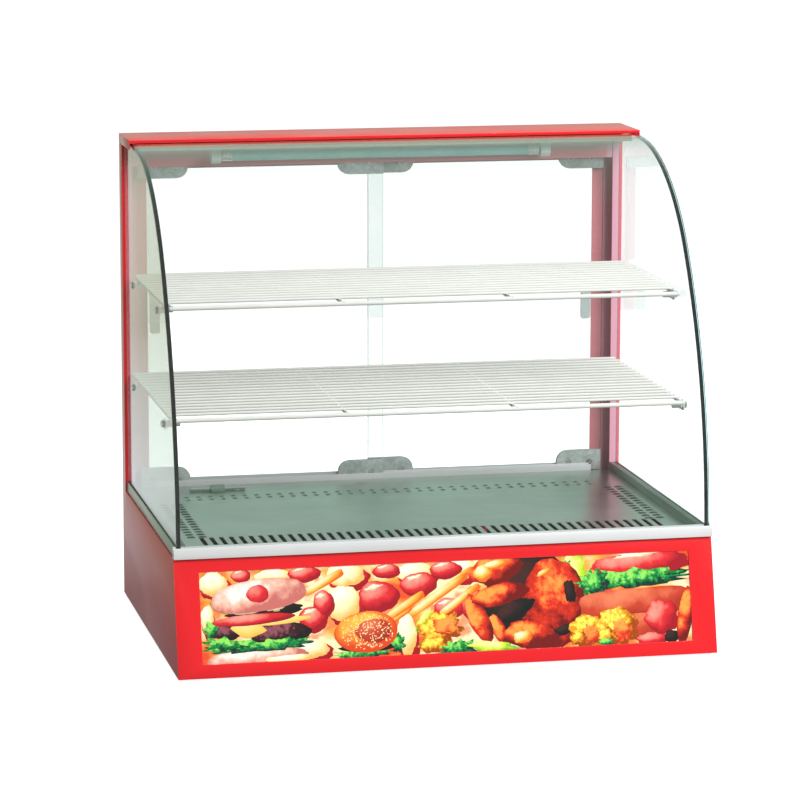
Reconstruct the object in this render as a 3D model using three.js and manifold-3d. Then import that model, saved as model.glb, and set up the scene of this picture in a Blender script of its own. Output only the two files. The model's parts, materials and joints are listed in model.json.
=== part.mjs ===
// Countertop hot food display case: a folded sheet-metal base and rear frame, a bent front glass over two
// side glasses, two wire shelves on pegs, a perforated deck over a heating element, a lamp under the top
// cap and two rear doors that slide past each other.
// Millimetres. +X to the right, +Y to the back, +Z up. The origin is the bottom centre of the whole case.
import * as THREE from 'three';
import { mergeGeometries, mergeVertices } from 'three/addons/utils/BufferGeometryUtils.js';
import Module from 'manifold-3d';

const wasm = await Module();
wasm.setup();
const radians = THREE.MathUtils.degToRad;

// ---------------------------------------------------------------- driving dimensions

const WIDTH = 660;              // case, left to right
const DEPTH = 470;              // base at its foot, front to back
const HEIGHT = 602;             // worktop to top cap
const FOOT_DROP = 4;            // how far the feet stand below the base
const BASE_H = 138;             // sheet-metal base
const FRONT_SLANT = 34;         // how far the front panel leans back over its height
const SHEET = 1.2;              // sheet metal
const GAP = 0.3;                // between pieces that touch
const FIT = 1;                  // loose clearance round glass and moving pieces
const TURN_SIDES = 12;          // facets of a small turned piece
const ROUND_SIDES = 16;         // and of a larger one
const WIRE_SIDES = 6;           // facets of a wire

const COLUMN_DEPTH = 25;        // rear frame, front to back
const COLUMN_FACE = 17;         // front flange of a column
const COLUMN_LIP = 38.5;        // rear flange of a column
const TOP_RAIL_H = 40.5;        // front flange of the top rail, down from the top of the case
const RAIL_DIVIDER_UP = 8;      // divider between the door lanes, above the front flange
const RAIL_LIP_DOWN = 4;        // rear flange, below the front flange
const HEADER_DEPTH = 95;        // top cap, front to back
const CAP_FLANGE = 11;          // end flanges of the top cap
const CAP_LIP = 2.6;            // front lip of the top cap
const LEDGE = 28;               // inward top flange of a side panel
const FRONT_RETURN = 12;        // side returns and top flange of the front panel

const GLASS = 5;                // front and side glass
const GLASS_OVERHANG = 3.5;     // from the outside of the case to the end of the front glass
const SIDE_GLASS_INSET = 4;     // from the outside of the case to the side glass
const CROWN_SLOPE = 3;          // front glass: slope at its top edge, degrees
const CROWN_RUN = 30;           // front glass: straight run in front of the cap
const CROWN_TUCK = 14;          // front glass: how far it runs in under the cap
const CROWN_END = 55;           // front glass: slope where its two bends meet, degrees
const BROW_END = 88;            // front glass: slope at its foot, degrees
const GLASS_PROUD = 3.6;        // front glass: its foot in front of the base's top edge
const GLASS_FOOT_RUN = 5;       // front glass: straight run above the trim
const CROWN_STEPS = 14;
const BROW_STEPS = 10;

const TRIM_H = 14;              // trims above the base
const TRIM_PROUD = 6;           // front trim in front of the base's top edge
const TRIM_DEPTH = 12;          // front trim, front to back
const TRIM_WIDTH = 14.5;        // side trims
const TRIM_INSET = 2;           // side trims, in from the outside of the case
const TRIM_SEAT = 3;            // floor of a trim under the glass
const TRIM_CHAMFER = 2;
const DECK_RISE = 4;            // deck surface above the base

const WINDOW_SIDE = 30;         // red border round the picture, beside it
const WINDOW_LOW = 16.5;        // and below it, along the slanted panel
const WINDOW_TOP = 16.6;        // and above it, along the slanted panel
const PICTURE_T = 3;
const PICTURE_LAP = 6;          // picture panel behind the edge of its window

const FRONT_SLOT_W = 5.5;       // deck: open slots along the front
const FRONT_SLOT_L = 42;
const FRONT_SLOT_PITCH = 12;
const FRONT_SLOT_IN = 108;      // from the front of the base to the middle of the row
const FRONT_SLOT_MARGIN = 30;   // from the deck's ends
const SIDE_SLOT_L = 10.5;       // deck: short slots up both sides
const SIDE_SLOT_W = 3;
const SIDE_SLOT_PITCH = 15;
const SIDE_SLOT_MARGINS = [20, 34];
const SIDE_SLOT_IN = 133;       // from the front of the base to the front row
const SIDE_SLOT_REAR = 136;     // from the rear face to behind the last row
const REAR_HOLE = 5;            // deck: small holes along the back
const REAR_HOLE_PITCH = 15;
const REAR_HOLE_ROWS = [99, 115];
const REAR_HOLE_MARGIN = 49;

const SHELVES = [
  { name: 'upper', peg: 413.5, rear: 62, glassGap: 35, rearPeg: 80, frontPegIn: 40 },
  { name: 'lower', peg: 283, rear: 36, glassGap: 57, rearPeg: 80, frontPegIn: 21 },
];                              // peg heights are over the base's foot, rear distances from the rear face
const SHELF_END_GAP = 4;        // between a rod's end and the side glass
const ROD_R = 1.9;
const FRONT_ROD_R = 2.8;
const CROSS_R = 2;
const ROD_PITCH = 20;
const CROSS_RODS = 4;
const CROSS_IN = 4;             // outer cross rods, in from the rods' ends
const WELD = 0.8;               // how deep crossing rods sink into each other
const SHELF_LIFT_GAP = 0.3;

const PEG_R = 4;
const PEG_SHANK_R = 2.6;
const PEG_HEAD_R = 4.5;
const PEG_HEAD_T = 3;
const PEG_DISC_R = 7;
const PEG_DISC_T = 2;
const PEG_ROUND = 1;
const PEG_REACH = 15;           // peg inside the side glass

const DOOR_GLASS = 5;
const DOOR_IN = 25;             // outer edge of a door, in from the outside of the case
const DOOR_LAP = 9;             // inner edge of a door past the middle of the case
const DOOR_LOW = 8;             // bottom edge of a door's glass over the base
const DOOR_TOP = 30;            // top edge of a door's glass below the top of the case
const DOOR_PITCH = 11.5;        // between the two doors, front to back
const TRACK_END_GAP = 3.5;      // between the track and a column's rear flange
const TRACK_H = 15;
const TRACK_WALL = 1.1;
const CLIP_L = 60;
const CLIP_H = 27;
const CLIP_T = 7.8;
const CLIP_CORNER = 15;
const CLIP_CORNER_STEPS = 4;
const HANDLE_W = 13;
const HANDLE_H = 62;
const HANDLE_T = 4;
const HANDLE_CORNER = 2;
const HANDLE_Z = 372;           // middle of a handle over the base's foot
const HANDLE_IN = 21;           // middle of a handle from its door's outer edge

const LAMP_R = 7;
const LAMP_Y = 50;              // rear face of the case to the lamp
const LAMP_DROP = 25;           // lamp below the top of the case
const LAMP_HALF = 208;
const HOLDER_W = 13;
const HOLDER_D = 20;
const HOLDER_H = 20.5;
const HOLDER_CORNER = 5;
const LINER_DROP = 13;          // liner below the top of the case
const LINER_T = 1;
const LINER_SETBACK = 2;        // its front lip behind the front of the cap

const FOOT_R = 12;
const FOOT_FLARE = 1;
const FOOT_ROUND = 1.5;
const FOOT_IN = 45;
const FLOOR_RISE = 6;

const CONTROL_Z = 68;           // controls over the base's foot
const KNOB_X = 205;
const KNOB_R = 19;
const KNOB_PROUD = 14;
const KNOB_CLEAR = 0.5;         // knob over the rear panel
const KNOB_RIM = 3;
const KNOB_SKIRT = 5;           // skirt, front to back
const KNOB_SLOPE = 4;           // how far the skirt's edge slopes in
const KNOB_GRIP = 5;
const SHAFT_R = 3;
const SHAFT_IN = 14;            // shaft inside the thermostat
const THERMOSTAT = 40;
const THERMOSTAT_DEEP = 30;
const SWITCH_X = [100, 55];
const BEZEL_W = 16;
const BEZEL_H = 23;
const BEZEL_T = 1.5;
const SWITCH_DEEP = 18;         // switch body behind the rear panel's face
const POCKET_DEEP = 12;         // and the pocket its rocker turns in
const ROCKER_W = 9;
const ROCKER_TILT = 12;         // each way from the middle, degrees: off at rest, its foot pressed in
const ROCKER_PIN_IN = 3;        // its pin behind the rear panel's face
const ROCKER_END_CLEAR = 1.4;   // from a rocker's ends to its pocket
const ROCKER_MID = 4;           // rocker's middle in front of its pin
const ROCKER_END = 5;           // and its two ends
const ROCKER_END_T = 2.5;
const ROCKER_HUB = 2;           // rocker behind its pin
const ROCKER_HUB_H = 3.5;
const LAMP_X = [150, 12];
const LENS_R = 5;
const LENS_PROUD = 3;
const LENS_DEEP = 16;           // behind the rear panel's face
const INLET_X = -225;
const INLET_W = 48;
const INLET_H = 28;
const SOCKET_W = 25;
const SOCKET_H = 17;
const SOCKET_DEEP = 16;
const INLET_FLANGE = 2.5;
const INLET_BACK = 4;           // wall behind the socket

const ELEMENT_R = 4;
const ELEMENT_Z = 62;           // heating element over the base's foot
const ELEMENT_X = 165;          // half width of the element's loop
const ELEMENT_REAR = 70;        // the loop's back, from the rear face
const ELEMENT_IN = 120;         // the loop's front, from the front of the base
const ELEMENT_BEND = 55;
const ELEMENT_BEND_STEPS = 6;
const ELEMENT_STEPS = 56;
const ELEMENT_SIDES = 8;
const BRACKET_FOOT = 15;
const PROBE_X = -217;
const PROBE_L = 74;
const PROBE_R = 3;
const PROBE_ROUND = 1;
const PROBE_Y = 61;
const PROBE_CLIP_W = 18;
const PROBE_CLIP_EAR = 7;
const PROBE_CLIP_T = 1;
const PROBE_CLIP_STEPS = 8;

// ---------------------------------------------------------------- places worked out from them

const rear = (DEPTH - KNOB_PROUD) / 2;
const at = (fromRear) => rear - fromRear;
const foot = FOOT_DROP;
const baseTop = foot + BASE_H;
const trimTop = baseTop + TRIM_H;
const top = HEIGHT;
const half = WIDTH / 2;
const inner = half - SHEET;
const columnFront = at(COLUMN_DEPTH);
const columnTop = top - CAP_FLANGE - SHEET - GAP;
const deckTop = baseTop + DECK_RISE;
const frontFoot = at(DEPTH);
const fromFront = (distance) => frontFoot + distance;
const frontTop = frontFoot + FRONT_SLANT;
const lean = Math.atan2(FRONT_SLANT, BASE_H);
const frontAt = (z) => frontFoot + (z - foot) * Math.tan(lean);
const sheetRun = SHEET / Math.cos(lean);
const glassOut = half - SIDE_GLASS_INSET;
const glassIn = glassOut - GLASS;
const glassFront = frontTop - GLASS_PROUD;
const trimFront = frontTop - TRIM_PROUD;
const doorOut = half - DOOR_IN;
const trackHalf = half - COLUMN_LIP - TRACK_END_GAP;
const shelfHalf = glassIn - SHELF_END_GAP;
const trimIn = half - TRIM_INSET - TRIM_WIDTH;
const capUnder = top - SHEET;
const capFront = at(HEADER_DEPTH);
const glassFootZ = baseTop + TRIM_SEAT + 2 * GAP;
const trackFloor = baseTop + GAP + TRACK_WALL;
const frontLane = at(COLUMN_DEPTH / 2 + DOOR_PITCH / 2);
const rearLane = frontLane + DOOR_PITCH;
const laneEdge = (frontLane + rearLane) / 2;
const controlZ = foot + CONTROL_Z;
const rearIn = rear - SHEET;

// ---------------------------------------------------------------- finishes

const finish = (color, roughness, metalness, opacity = 1) =>
  new THREE.MeshStandardMaterial({ color, roughness, metalness, opacity, transparent: opacity < 1 });
const redPaint = () => finish(0xe0242e, 0.35, 0.1);
const satinSteel = () => finish(0xb9bdb6, 0.32, 0.9);
const satinAluminium = () => finish(0xd6dbdc, 0.4, 0.8);
const clearGlass = () => finish(0xdcefea, 0.04, 0, 0.25);
const whiteCoat = () => finish(0xecece6, 0.4, 0.1);
const chromed = () => finish(0xe3e5e8, 0.1, 1);
const blackPlastic = () => finish(0x1b1c1e, 0.45, 0);
const blackRubber = () => finish(0x202022, 0.85, 0);

// ---------------------------------------------------------------- making shapes

const group = new THREE.Group();
const X = new THREE.Vector3(1, 0, 0);
const Y = new THREE.Vector3(0, 1, 0);
const Z = new THREE.Vector3(0, 0, 1);
const alongX = new THREE.Matrix4().makeBasis(Y, Z, X);
const alongY = new THREE.Matrix4().makeBasis(X, Z, Y.clone().negate());

function add(name, geometry, material) {
  const mesh = new THREE.Mesh(geometry, material);
  mesh.name = name;
  group.add(mesh);
  return mesh;
}

function box(x0, x1, y0, y1, z0, z1) {
  const g = new THREE.BoxGeometry(x1 - x0, y1 - y0, z1 - z0);
  g.translate((x0 + x1) / 2, (y0 + y1) / 2, (z0 + z1) / 2);
  return g;
}

function outline(points) {
  return new THREE.Shape(points.map(([u, v]) => new THREE.Vector2(u, v)));
}

function circle(r, sides) {
  return outline(Array.from({ length: sides }, (_, i) => {
    const a = (2 * Math.PI * (i + 0.5)) / sides;
    return [r * Math.cos(a), r * Math.sin(a)];
  }));
}

function extrude(shape, depth) {
  return new THREE.ExtrudeGeometry(shape, { depth, steps: 1, bevelEnabled: false });
}

// A section in (y, z) that runs from x0 to x1.
function barX(shape, x0, x1) {
  return extrude(shape, x1 - x0).applyMatrix4(alongX).translate(x0, 0, 0);
}

// A section in (x, z) that runs from y0 to y1.
function barY(shape, y0, y1) {
  return extrude(shape, y1 - y0).applyMatrix4(alongY).translate(0, y1, 0);
}

// A profile of [radius, distance] turned about the line from the given point along +X, +Y or +Z.
function turned(profile, along, x, y, z, segments = TURN_SIDES) {
  const g = new THREE.LatheGeometry(profile.map(([r, d]) => new THREE.Vector2(r, d)), segments);
  const axis = { x: [Y, X, Z.clone().negate()], y: [X, Y, Z], z: [X, Z, Y.clone().negate()] }[along];
  return g.applyMatrix4(new THREE.Matrix4().makeBasis(...axis)).translate(x, y, z);
}

function solid(geometry) {
  const bare = geometry.clone();
  bare.deleteAttribute('normal');
  bare.deleteAttribute('uv');
  const merged = mergeVertices(bare, 1e-4);
  const vertProperties = Float32Array.from(merged.attributes.position.array);
  const triVerts = Uint32Array.from(merged.index.array);
  return new wasm.Manifold(new wasm.Mesh({ numProp: 3, vertProperties, triVerts }));
}

// One closed body: the pieces joined, less the cuts, which stand clear of each other.
function joined(pieces, cuts = []) {
  let body = solid(pieces[0]);
  for (const g of pieces.slice(1)) body = body.add(solid(g));
  if (cuts.length > 0) {
    const loose = cuts.map((g) => (g.index ? g.toNonIndexed() : g));
    body = body.subtract(solid(mergeGeometries(loose)));
  }
  const mesh = body.getMesh();
  const result = new THREE.BufferGeometry();
  result.setAttribute('position', new THREE.BufferAttribute(mesh.vertProperties, 3));
  result.setIndex(new THREE.BufferAttribute(mesh.triVerts, 1));
  return result;
}

function mirrored(x0, x1, side) {
  return side < 0 ? [-x1, -x0] : [x0, x1];
}

const SIDES = [{ name: 'left', side: -1 }, { name: 'right', side: 1 }];

// ---------------------------------------------------------------- the bent front glass

const crown = { y: capFront - CROWN_RUN * Math.cos(radians(CROWN_SLOPE)), start: capUnder - CAP_LIP - GAP };
crown.z = crown.start - CROWN_RUN * Math.sin(radians(CROWN_SLOPE));

// The two bends' radii take the glass from under the cap to its front plane over the trim.
function bendRadii(a0, a1, a2) {
  const across = crown.y - glassFront;
  const down = crown.z - trimTop - GLASS_FOOT_RUN;
  const [a, b] = [Math.sin(a1) - Math.sin(a0), Math.sin(a2) - Math.sin(a1)];
  const [c, d] = [Math.cos(a0) - Math.cos(a1), Math.cos(a1) - Math.cos(a2)];
  const scale = a * d - b * c;
  return [(across * d - down * b) / scale, (down * a - across * c) / scale];
}

// Points (y, z) down the glass, `inset` in from its outer face, from `tuck` under the cap to its foot.
function glassLine(inset, tuck) {
  const [a0, a1, a2] = [CROWN_SLOPE, CROWN_END, BROW_END].map(radians);
  const [crownR, browR] = bendRadii(a0, a1, a2);
  const onBend = (y, z, r, from, a) => [
    y - r * (Math.sin(a) - Math.sin(from)),
    z - r * (Math.cos(from) - Math.cos(a)),
    a,
  ];
  const points = [[capFront + tuck * Math.cos(a0), crown.start + tuck * Math.sin(a0), a0]];
  for (let i = 0; i <= CROWN_STEPS; i += 1) {
    points.push(onBend(crown.y, crown.z, crownR, a0, a0 + ((a1 - a0) * i) / CROWN_STEPS));
  }
  const [browY, browZ] = onBend(crown.y, crown.z, crownR, a0, a1);
  for (let i = 1; i <= BROW_STEPS; i += 1) {
    points.push(onBend(browY, browZ, browR, a1, a1 + ((a2 - a1) * i) / BROW_STEPS));
  }
  const line = points.map(([y, z, a]) => [y + inset * Math.sin(a), z - inset * Math.cos(a)]);
  const [lastY, lastZ] = line[line.length - 1];
  line.push([lastY - (lastZ - glassFootZ) / Math.tan(a2), glassFootZ]);
  return line;
}

// Where the glass's inner face stands at a height.
function glassFaceAt(z) {
  const line = glassLine(GLASS, 0);
  const i = line.findIndex((point) => point[1] <= z);
  const [y0, z0] = line[i - 1];
  const [y1, z1] = line[i];
  return y0 + ((y1 - y0) * (z0 - z)) / (z0 - z1);
}

function frontGlass() {
  const outer = glassLine(0, CROWN_TUCK);
  const innerLine = glassLine(GLASS, CROWN_TUCK).reverse();
  const reach = half - GLASS_OVERHANG;
  add('front_glass', barX(outline([...outer, ...innerLine]), -reach, reach), clearGlass());
}

const pegZ = (spec) => foot + spec.peg;
const shelfFront = (spec) => glassFaceAt(pegZ(spec)) + spec.glassGap;
const pegYs = (spec) => [at(spec.rearPeg), shelfFront(spec) + spec.frontPegIn];

function sideGlass({ name, side }) {
  const edge = glassLine(GLASS + GAP, 0);
  const back = columnFront - GAP;
  const shape = outline([...edge, [back, glassFootZ], [back, edge[0][1]]]);
  const [x0, x1] = mirrored(glassIn, glassOut, side);
  const r = PEG_SHANK_R + GAP;
  const drill = [[0, x0 - FIT], [r, x0 - FIT], [r, x1 + FIT], [0, x1 + FIT]];
  const holes = SHELVES.flatMap((spec) => pegYs(spec).map((y) => turned(drill, 'x', 0, y, pegZ(spec))));
  add(`${name}_glass`, joined([barX(shape, x0, x1)], holes), clearGlass());
}

// ---------------------------------------------------------------- base and rear frame

// One folded sheet: base side, ledge for the trim and deck, and the column that stands at its back.
function sidePanel({ name, side }) {
  const frontEdge = (z) => frontAt(z) + sheetRun + GAP;
  const web = outline([
    [frontEdge(foot), foot],
    [rear, foot],
    [rear, columnTop],
    [columnFront, columnTop],
    [columnFront, baseTop],
    [frontEdge(baseTop), baseTop],
  ]);
  const ledgeFront = frontTop + FRONT_RETURN + sheetRun + GAP;
  const range = (a, b) => mirrored(a, b, side);
  add(`${name}_side_panel`, joined([
    barX(web, ...range(inner, half)),
    box(...range(half - LEDGE, half), ledgeFront, columnFront + SHEET, baseTop - SHEET, baseTop),
    box(...range(half - COLUMN_FACE, half), columnFront, columnFront + SHEET, baseTop - SHEET, columnTop),
    box(...range(half - COLUMN_LIP, half), rearIn, rear, foot, columnTop),
    box(...range(half - COLUMN_LIP, inner - GAP), rearIn, rear, foot, capUnder - SHEET - 2 * GAP),
  ]), redPaint());
}

function frontPanel() {
  const length = BASE_H / Math.cos(lean);
  const tilt = (g) => g.rotateX(-lean).translate(0, frontFoot, foot);
  const windowHalf = half - WINDOW_SIDE;
  const windowTop = length - WINDOW_TOP;
  const window = box(-windowHalf, windowHalf, -FIT, SHEET + FIT, WINDOW_LOW, windowTop);
  const pieces = [box(-half, half, 0, SHEET, 0, length)];
  for (const { side } of SIDES) {
    const [x0, x1] = mirrored(inner - GAP - SHEET, inner - GAP, side);
    pieces.push(box(x0, x1, SHEET / 2, FRONT_RETURN, FRONT_RETURN, length - FRONT_RETURN));
  }
  const flangeHalf = inner - 2 * FIT;
  const flange = box(-flangeHalf, flangeHalf, frontTop + SHEET / 2, frontTop + FRONT_RETURN,
    baseTop - SHEET, baseTop);
  add('front_panel', joined([...pieces.map(tilt), flange], [tilt(window)]), redPaint());
  const lap = windowHalf + PICTURE_LAP;
  const picture = box(-lap, lap, SHEET + GAP, SHEET + GAP + PICTURE_T,
    WINDOW_LOW - PICTURE_LAP, windowTop + PICTURE_LAP);
  add('picture_panel', tilt(picture), finish(0xe8a060, 0.3, 0));
}

function rearPanel() {
  const edge = half - COLUMN_LIP - GAP;
  const from = rearIn - FIT;
  const to = rear + FIT;
  const drill = (r) => [[0, from], [r, from], [r, to], [0, to]];
  const drilled = (x, r) => turned(drill(r), 'y', x, 0, controlZ, ROUND_SIDES);
  const cut = (x, w, h) => box(x - w / 2, x + w / 2, from, to, controlZ - h / 2, controlZ + h / 2);
  add('rear_panel', joined([
    box(-edge, edge, rearIn, rear, foot, baseTop),
    box(-edge, edge, columnFront + GAP, rear, baseTop - SHEET, baseTop),
  ], [
    drilled(KNOB_X, SHAFT_R + FIT),
    ...LAMP_X.map((x) => drilled(x, LENS_R - FIT + GAP)),
    ...SWITCH_X.map((x) => cut(x, BEZEL_W - 2 * FIT, BEZEL_H - 2 * FIT)),
    cut(INLET_X, INLET_W - INLET_H / 2 + 2 * GAP, INLET_H - 4 * FIT + 2 * GAP),
  ]), redPaint());
}

function baseFloor() {
  const z = foot + FLOOR_RISE;
  const reach = inner - SHEET - 2 * GAP - FIT;
  const front = frontAt(z) + sheetRun + FIT;
  add('base_floor', box(-reach, reach, front, rearIn - GAP, z, z + SHEET), satinSteel());
  for (const { name, side } of SIDES) {
    for (const [where, y] of [['front', at(DEPTH - FOOT_IN)], ['rear', at(FOOT_IN)]]) {
      const height = z - GAP;
      const profile = [
        [0, 0], [FOOT_R - FOOT_ROUND, 0], [FOOT_R, FOOT_ROUND], [FOOT_R + FOOT_FLARE, height], [0, height],
      ];
      add(`${name}_${where}_foot`, turned(profile, 'z', side * (half - FOOT_IN), y, 0, ROUND_SIDES), blackRubber());
    }
  }
}

// ---------------------------------------------------------------- trims

function trims() {
  const low = baseTop + GAP;
  const seat = low + TRIM_SEAT;
  const front = trimFront;
  const back = front + TRIM_DEPTH;
  const slotFront = glassFront - 2 * FIT + 2 * GAP;
  const slotBack = glassFront + GLASS + FIT;
  const section = outline([
    [front, low], [back, low], [back, trimTop],
    [front + TRIM_CHAMFER / 2, trimTop], [front, trimTop - TRIM_CHAMFER],
  ]);
  const slot = box(-half - FIT, half + FIT, slotFront, slotBack, seat, trimTop + FIT);
  const notches = SIDES.map(({ side }) => {
    const [x0, x1] = mirrored(glassIn - GAP, glassOut + GAP, side);
    return box(x0, x1, slotBack - FIT, back + FIT, seat, trimTop + FIT);
  });
  const slotted = joined([barX(section, -half, half)], [slot]);
  add('front_trim', joined([slotted], notches), satinAluminium());
  const from = back + GAP;
  const to = columnFront - GAP;
  for (const { name, side } of SIDES) {
    const [x0, x1] = mirrored(trimIn, half - TRIM_INSET, side);
    const [s0, s1] = mirrored(glassIn - GAP, glassOut + GAP, side);
    const groove = box(s0, s1, from - FIT, to + FIT, seat, trimTop + FIT);
    add(`${name}_trim`, joined([box(x0, x1, from, to, low, trimTop)], [groove]), satinSteel());
  }
}

// ---------------------------------------------------------------- deck, heating element and probe

// Places either side of the middle, a pitch apart, no further out than the reach.
function evenly(reach, pitch) {
  const count = Math.floor((2 * reach) / pitch) + 1;
  return Array.from({ length: count }, (_, i) => (i - (count - 1) / 2) * pitch);
}

function deck() {
  const reach = trimIn - GAP;
  const front = trimFront + TRIM_DEPTH + GAP;
  const back = columnFront - GAP;
  const low = baseTop + GAP;
  const under = deckTop - SHEET;
  const slots = [];
  const slot = (x, y, w, d) => {
    slots.push(box(x - w / 2, x + w / 2, y - d / 2, y + d / 2, under - FIT, deckTop + FIT));
  };
  for (const x of evenly(reach - FRONT_SLOT_MARGIN, FRONT_SLOT_PITCH)) {
    slot(x, fromFront(FRONT_SLOT_IN), FRONT_SLOT_W, FRONT_SLOT_L);
  }
  for (let y = fromFront(SIDE_SLOT_IN); y < at(SIDE_SLOT_REAR); y += SIDE_SLOT_PITCH) {
    for (const margin of SIDE_SLOT_MARGINS) {
      slot(reach - margin, y, SIDE_SLOT_L, SIDE_SLOT_W);
      slot(margin - reach, y, SIDE_SLOT_L, SIDE_SLOT_W);
    }
  }
  for (const x of evenly(reach - REAR_HOLE_MARGIN, REAR_HOLE_PITCH)) {
    for (const y of REAR_HOLE_ROWS) slot(x, at(y), REAR_HOLE, REAR_HOLE);
  }
  add('deck_plate', joined([
    box(-reach, reach, front, back, under, deckTop),
    box(-reach, -reach + SHEET, front, back, low, under + SHEET / 2),
    box(reach - SHEET, reach, front, back, low, under + SHEET / 2),
    box(-reach, reach, front, front + SHEET, low, under + SHEET / 2),
    box(-reach, reach, back - SHEET, back, low, under + SHEET / 2),
  ], slots), satinSteel());
}

function heating() {
  const z = foot + ELEMENT_Z;
  const yBack = at(ELEMENT_REAR);
  const yFront = fromFront(ELEMENT_IN);
  const bend = ELEMENT_BEND;
  const arc = (cx, cy, from, to) => {
    const points = [];
    for (let i = 0; i <= ELEMENT_BEND_STEPS; i += 1) {
      const a = radians(from + ((to - from) * i) / ELEMENT_BEND_STEPS);
      points.push(new THREE.Vector3(cx + bend * Math.cos(a), cy + bend * Math.sin(a), z));
    }
    return points;
  };
  const points = [
    new THREE.Vector3(-ELEMENT_X, yBack, z),
    ...arc(-ELEMENT_X + bend, yFront + bend, 180, 360),
    ...arc(0, yBack - bend, 180, 0),
    ...arc(ELEMENT_X - bend, yFront + bend, 180, 360),
    new THREE.Vector3(ELEMENT_X, yBack, z),
  ];
  const path = new THREE.CurvePath();
  for (let i = 1; i < points.length; i += 1) path.add(new THREE.LineCurve3(points[i - 1], points[i]));
  const geometry = new THREE.ExtrudeGeometry(circle(ELEMENT_R, ELEMENT_SIDES), {
    steps: ELEMENT_STEPS,
    extrudePath: path,
    bevelEnabled: false,
  });
  add('heating_element', geometry, finish(0x6d6a66, 0.5, 0.7));
  const floorTop = foot + FLOOR_RISE + SHEET + GAP;
  const clipTop = z - ELEMENT_R - GAP;
  for (const [where, y] of [['rear', yBack - bend - FIT], ['front', yFront + bend + FIT]]) {
    const reach = ELEMENT_X + 3 * ELEMENT_R;
    add(`${where}_element_bracket`, joined([
      box(-reach, reach, y, y + BRACKET_FOOT, floorTop, floorTop + SHEET),
      box(-reach, reach, y, y + SHEET, floorTop, clipTop),
    ]), satinSteel());
  }
}

function probe() {
  const z = deckTop + PROBE_R + GAP;
  const end = PROBE_L / 2;
  const y = at(PROBE_Y);
  const tip = PROBE_R - PROBE_ROUND;
  const straight = end - PROBE_ROUND;
  const profile = [[0, -end], [tip, -end], [PROBE_R, -straight], [PROBE_R, straight], [tip, end], [0, end]];
  add('temperature_probe', turned(profile, 'x', PROBE_X, y, z), chromed());
  const low = deckTop + GAP;
  const arch = (w, bottom) => {
    const points = [[y - w, bottom], [y + w, bottom]];
    for (let i = 0; i <= PROBE_CLIP_STEPS; i += 1) {
      const a = (Math.PI * i) / PROBE_CLIP_STEPS;
      points.push([y + w * Math.cos(a), z + w * Math.sin(a)]);
    }
    return barX(outline(points), PROBE_X - PROBE_CLIP_W / 2, PROBE_X + PROBE_CLIP_W / 2);
  };
  const over = PROBE_R + 2 * GAP;
  const earHalf = over + PROBE_CLIP_EAR;
  const clipHalf = PROBE_CLIP_W / 2;
  const ears = box(PROBE_X - clipHalf, PROBE_X + clipHalf, y - earHalf, y + earHalf, low, low + PROBE_CLIP_T);
  const saddle = joined([arch(over + PROBE_CLIP_T, low), ears]);
  const bore = arch(over, low - FIT).scale(2, 1, 1).translate(-PROBE_X, 0, 0);
  add('probe_clip', joined([saddle], [bore]), satinSteel());
}

// ---------------------------------------------------------------- shelves and their pegs

function rodX(x0, x1, y, z, r) {
  return turned([[0, x0], [r, x0], [r, x1], [0, x1]], 'x', 0, y, z, WIRE_SIDES);
}

function rodY(x, y0, y1, z, r) {
  return turned([[0, y0], [r, y0], [r, y1], [0, y1]], 'y', x, 0, z, WIRE_SIDES);
}

function shelf(spec) {
  const z = pegZ(spec) + PEG_R + SHELF_LIFT_GAP + CROSS_R;
  const rodZ = z + CROSS_R + ROD_R - WELD;
  const front = shelfFront(spec);
  const rods = evenly(shelfHalf - CROSS_IN, (2 * (shelfHalf - CROSS_IN)) / (CROSS_RODS - 1))
    .map((x) => rodY(x, front, at(spec.rear) + ROD_R, z, CROSS_R));
  for (let y = at(spec.rear); y > front + ROD_PITCH; y -= ROD_PITCH) {
    rods.push(rodX(-shelfHalf, shelfHalf, y, rodZ, ROD_R));
  }
  rods.push(rodX(-shelfHalf, shelfHalf, front, z, FRONT_ROD_R));
  add(`${spec.name}_shelf`, joined(rods), whiteCoat());
}

function pegs(spec) {
  const thread = glassOut + GAP;
  const seat = glassIn - GAP;
  const profile = [
    [0, seat - PEG_REACH], [PEG_R, seat - PEG_REACH],
    [PEG_R, seat - PEG_DISC_T], [PEG_DISC_R, seat - PEG_DISC_T],
    [PEG_DISC_R, seat], [PEG_SHANK_R, seat], [PEG_SHANK_R, thread], [PEG_HEAD_R, thread],
    [PEG_HEAD_R, thread + PEG_HEAD_T - PEG_ROUND], [PEG_HEAD_R - PEG_ROUND, thread + PEG_HEAD_T],
    [0, thread + PEG_HEAD_T],
  ];
  for (const { name, side } of SIDES) {
    const handed = side > 0 ? profile : profile.map(([r, d]) => [r, -d]).reverse();
    pegYs(spec).forEach((y, i) => {
      const g = turned(handed, 'x', 0, y, pegZ(spec));
      add(`${spec.name}_${name}_${['rear', 'front'][i]}_peg`, g, chromed());
    });
  }
}

// ---------------------------------------------------------------- top: rail, cap, liner and lamp

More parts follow.
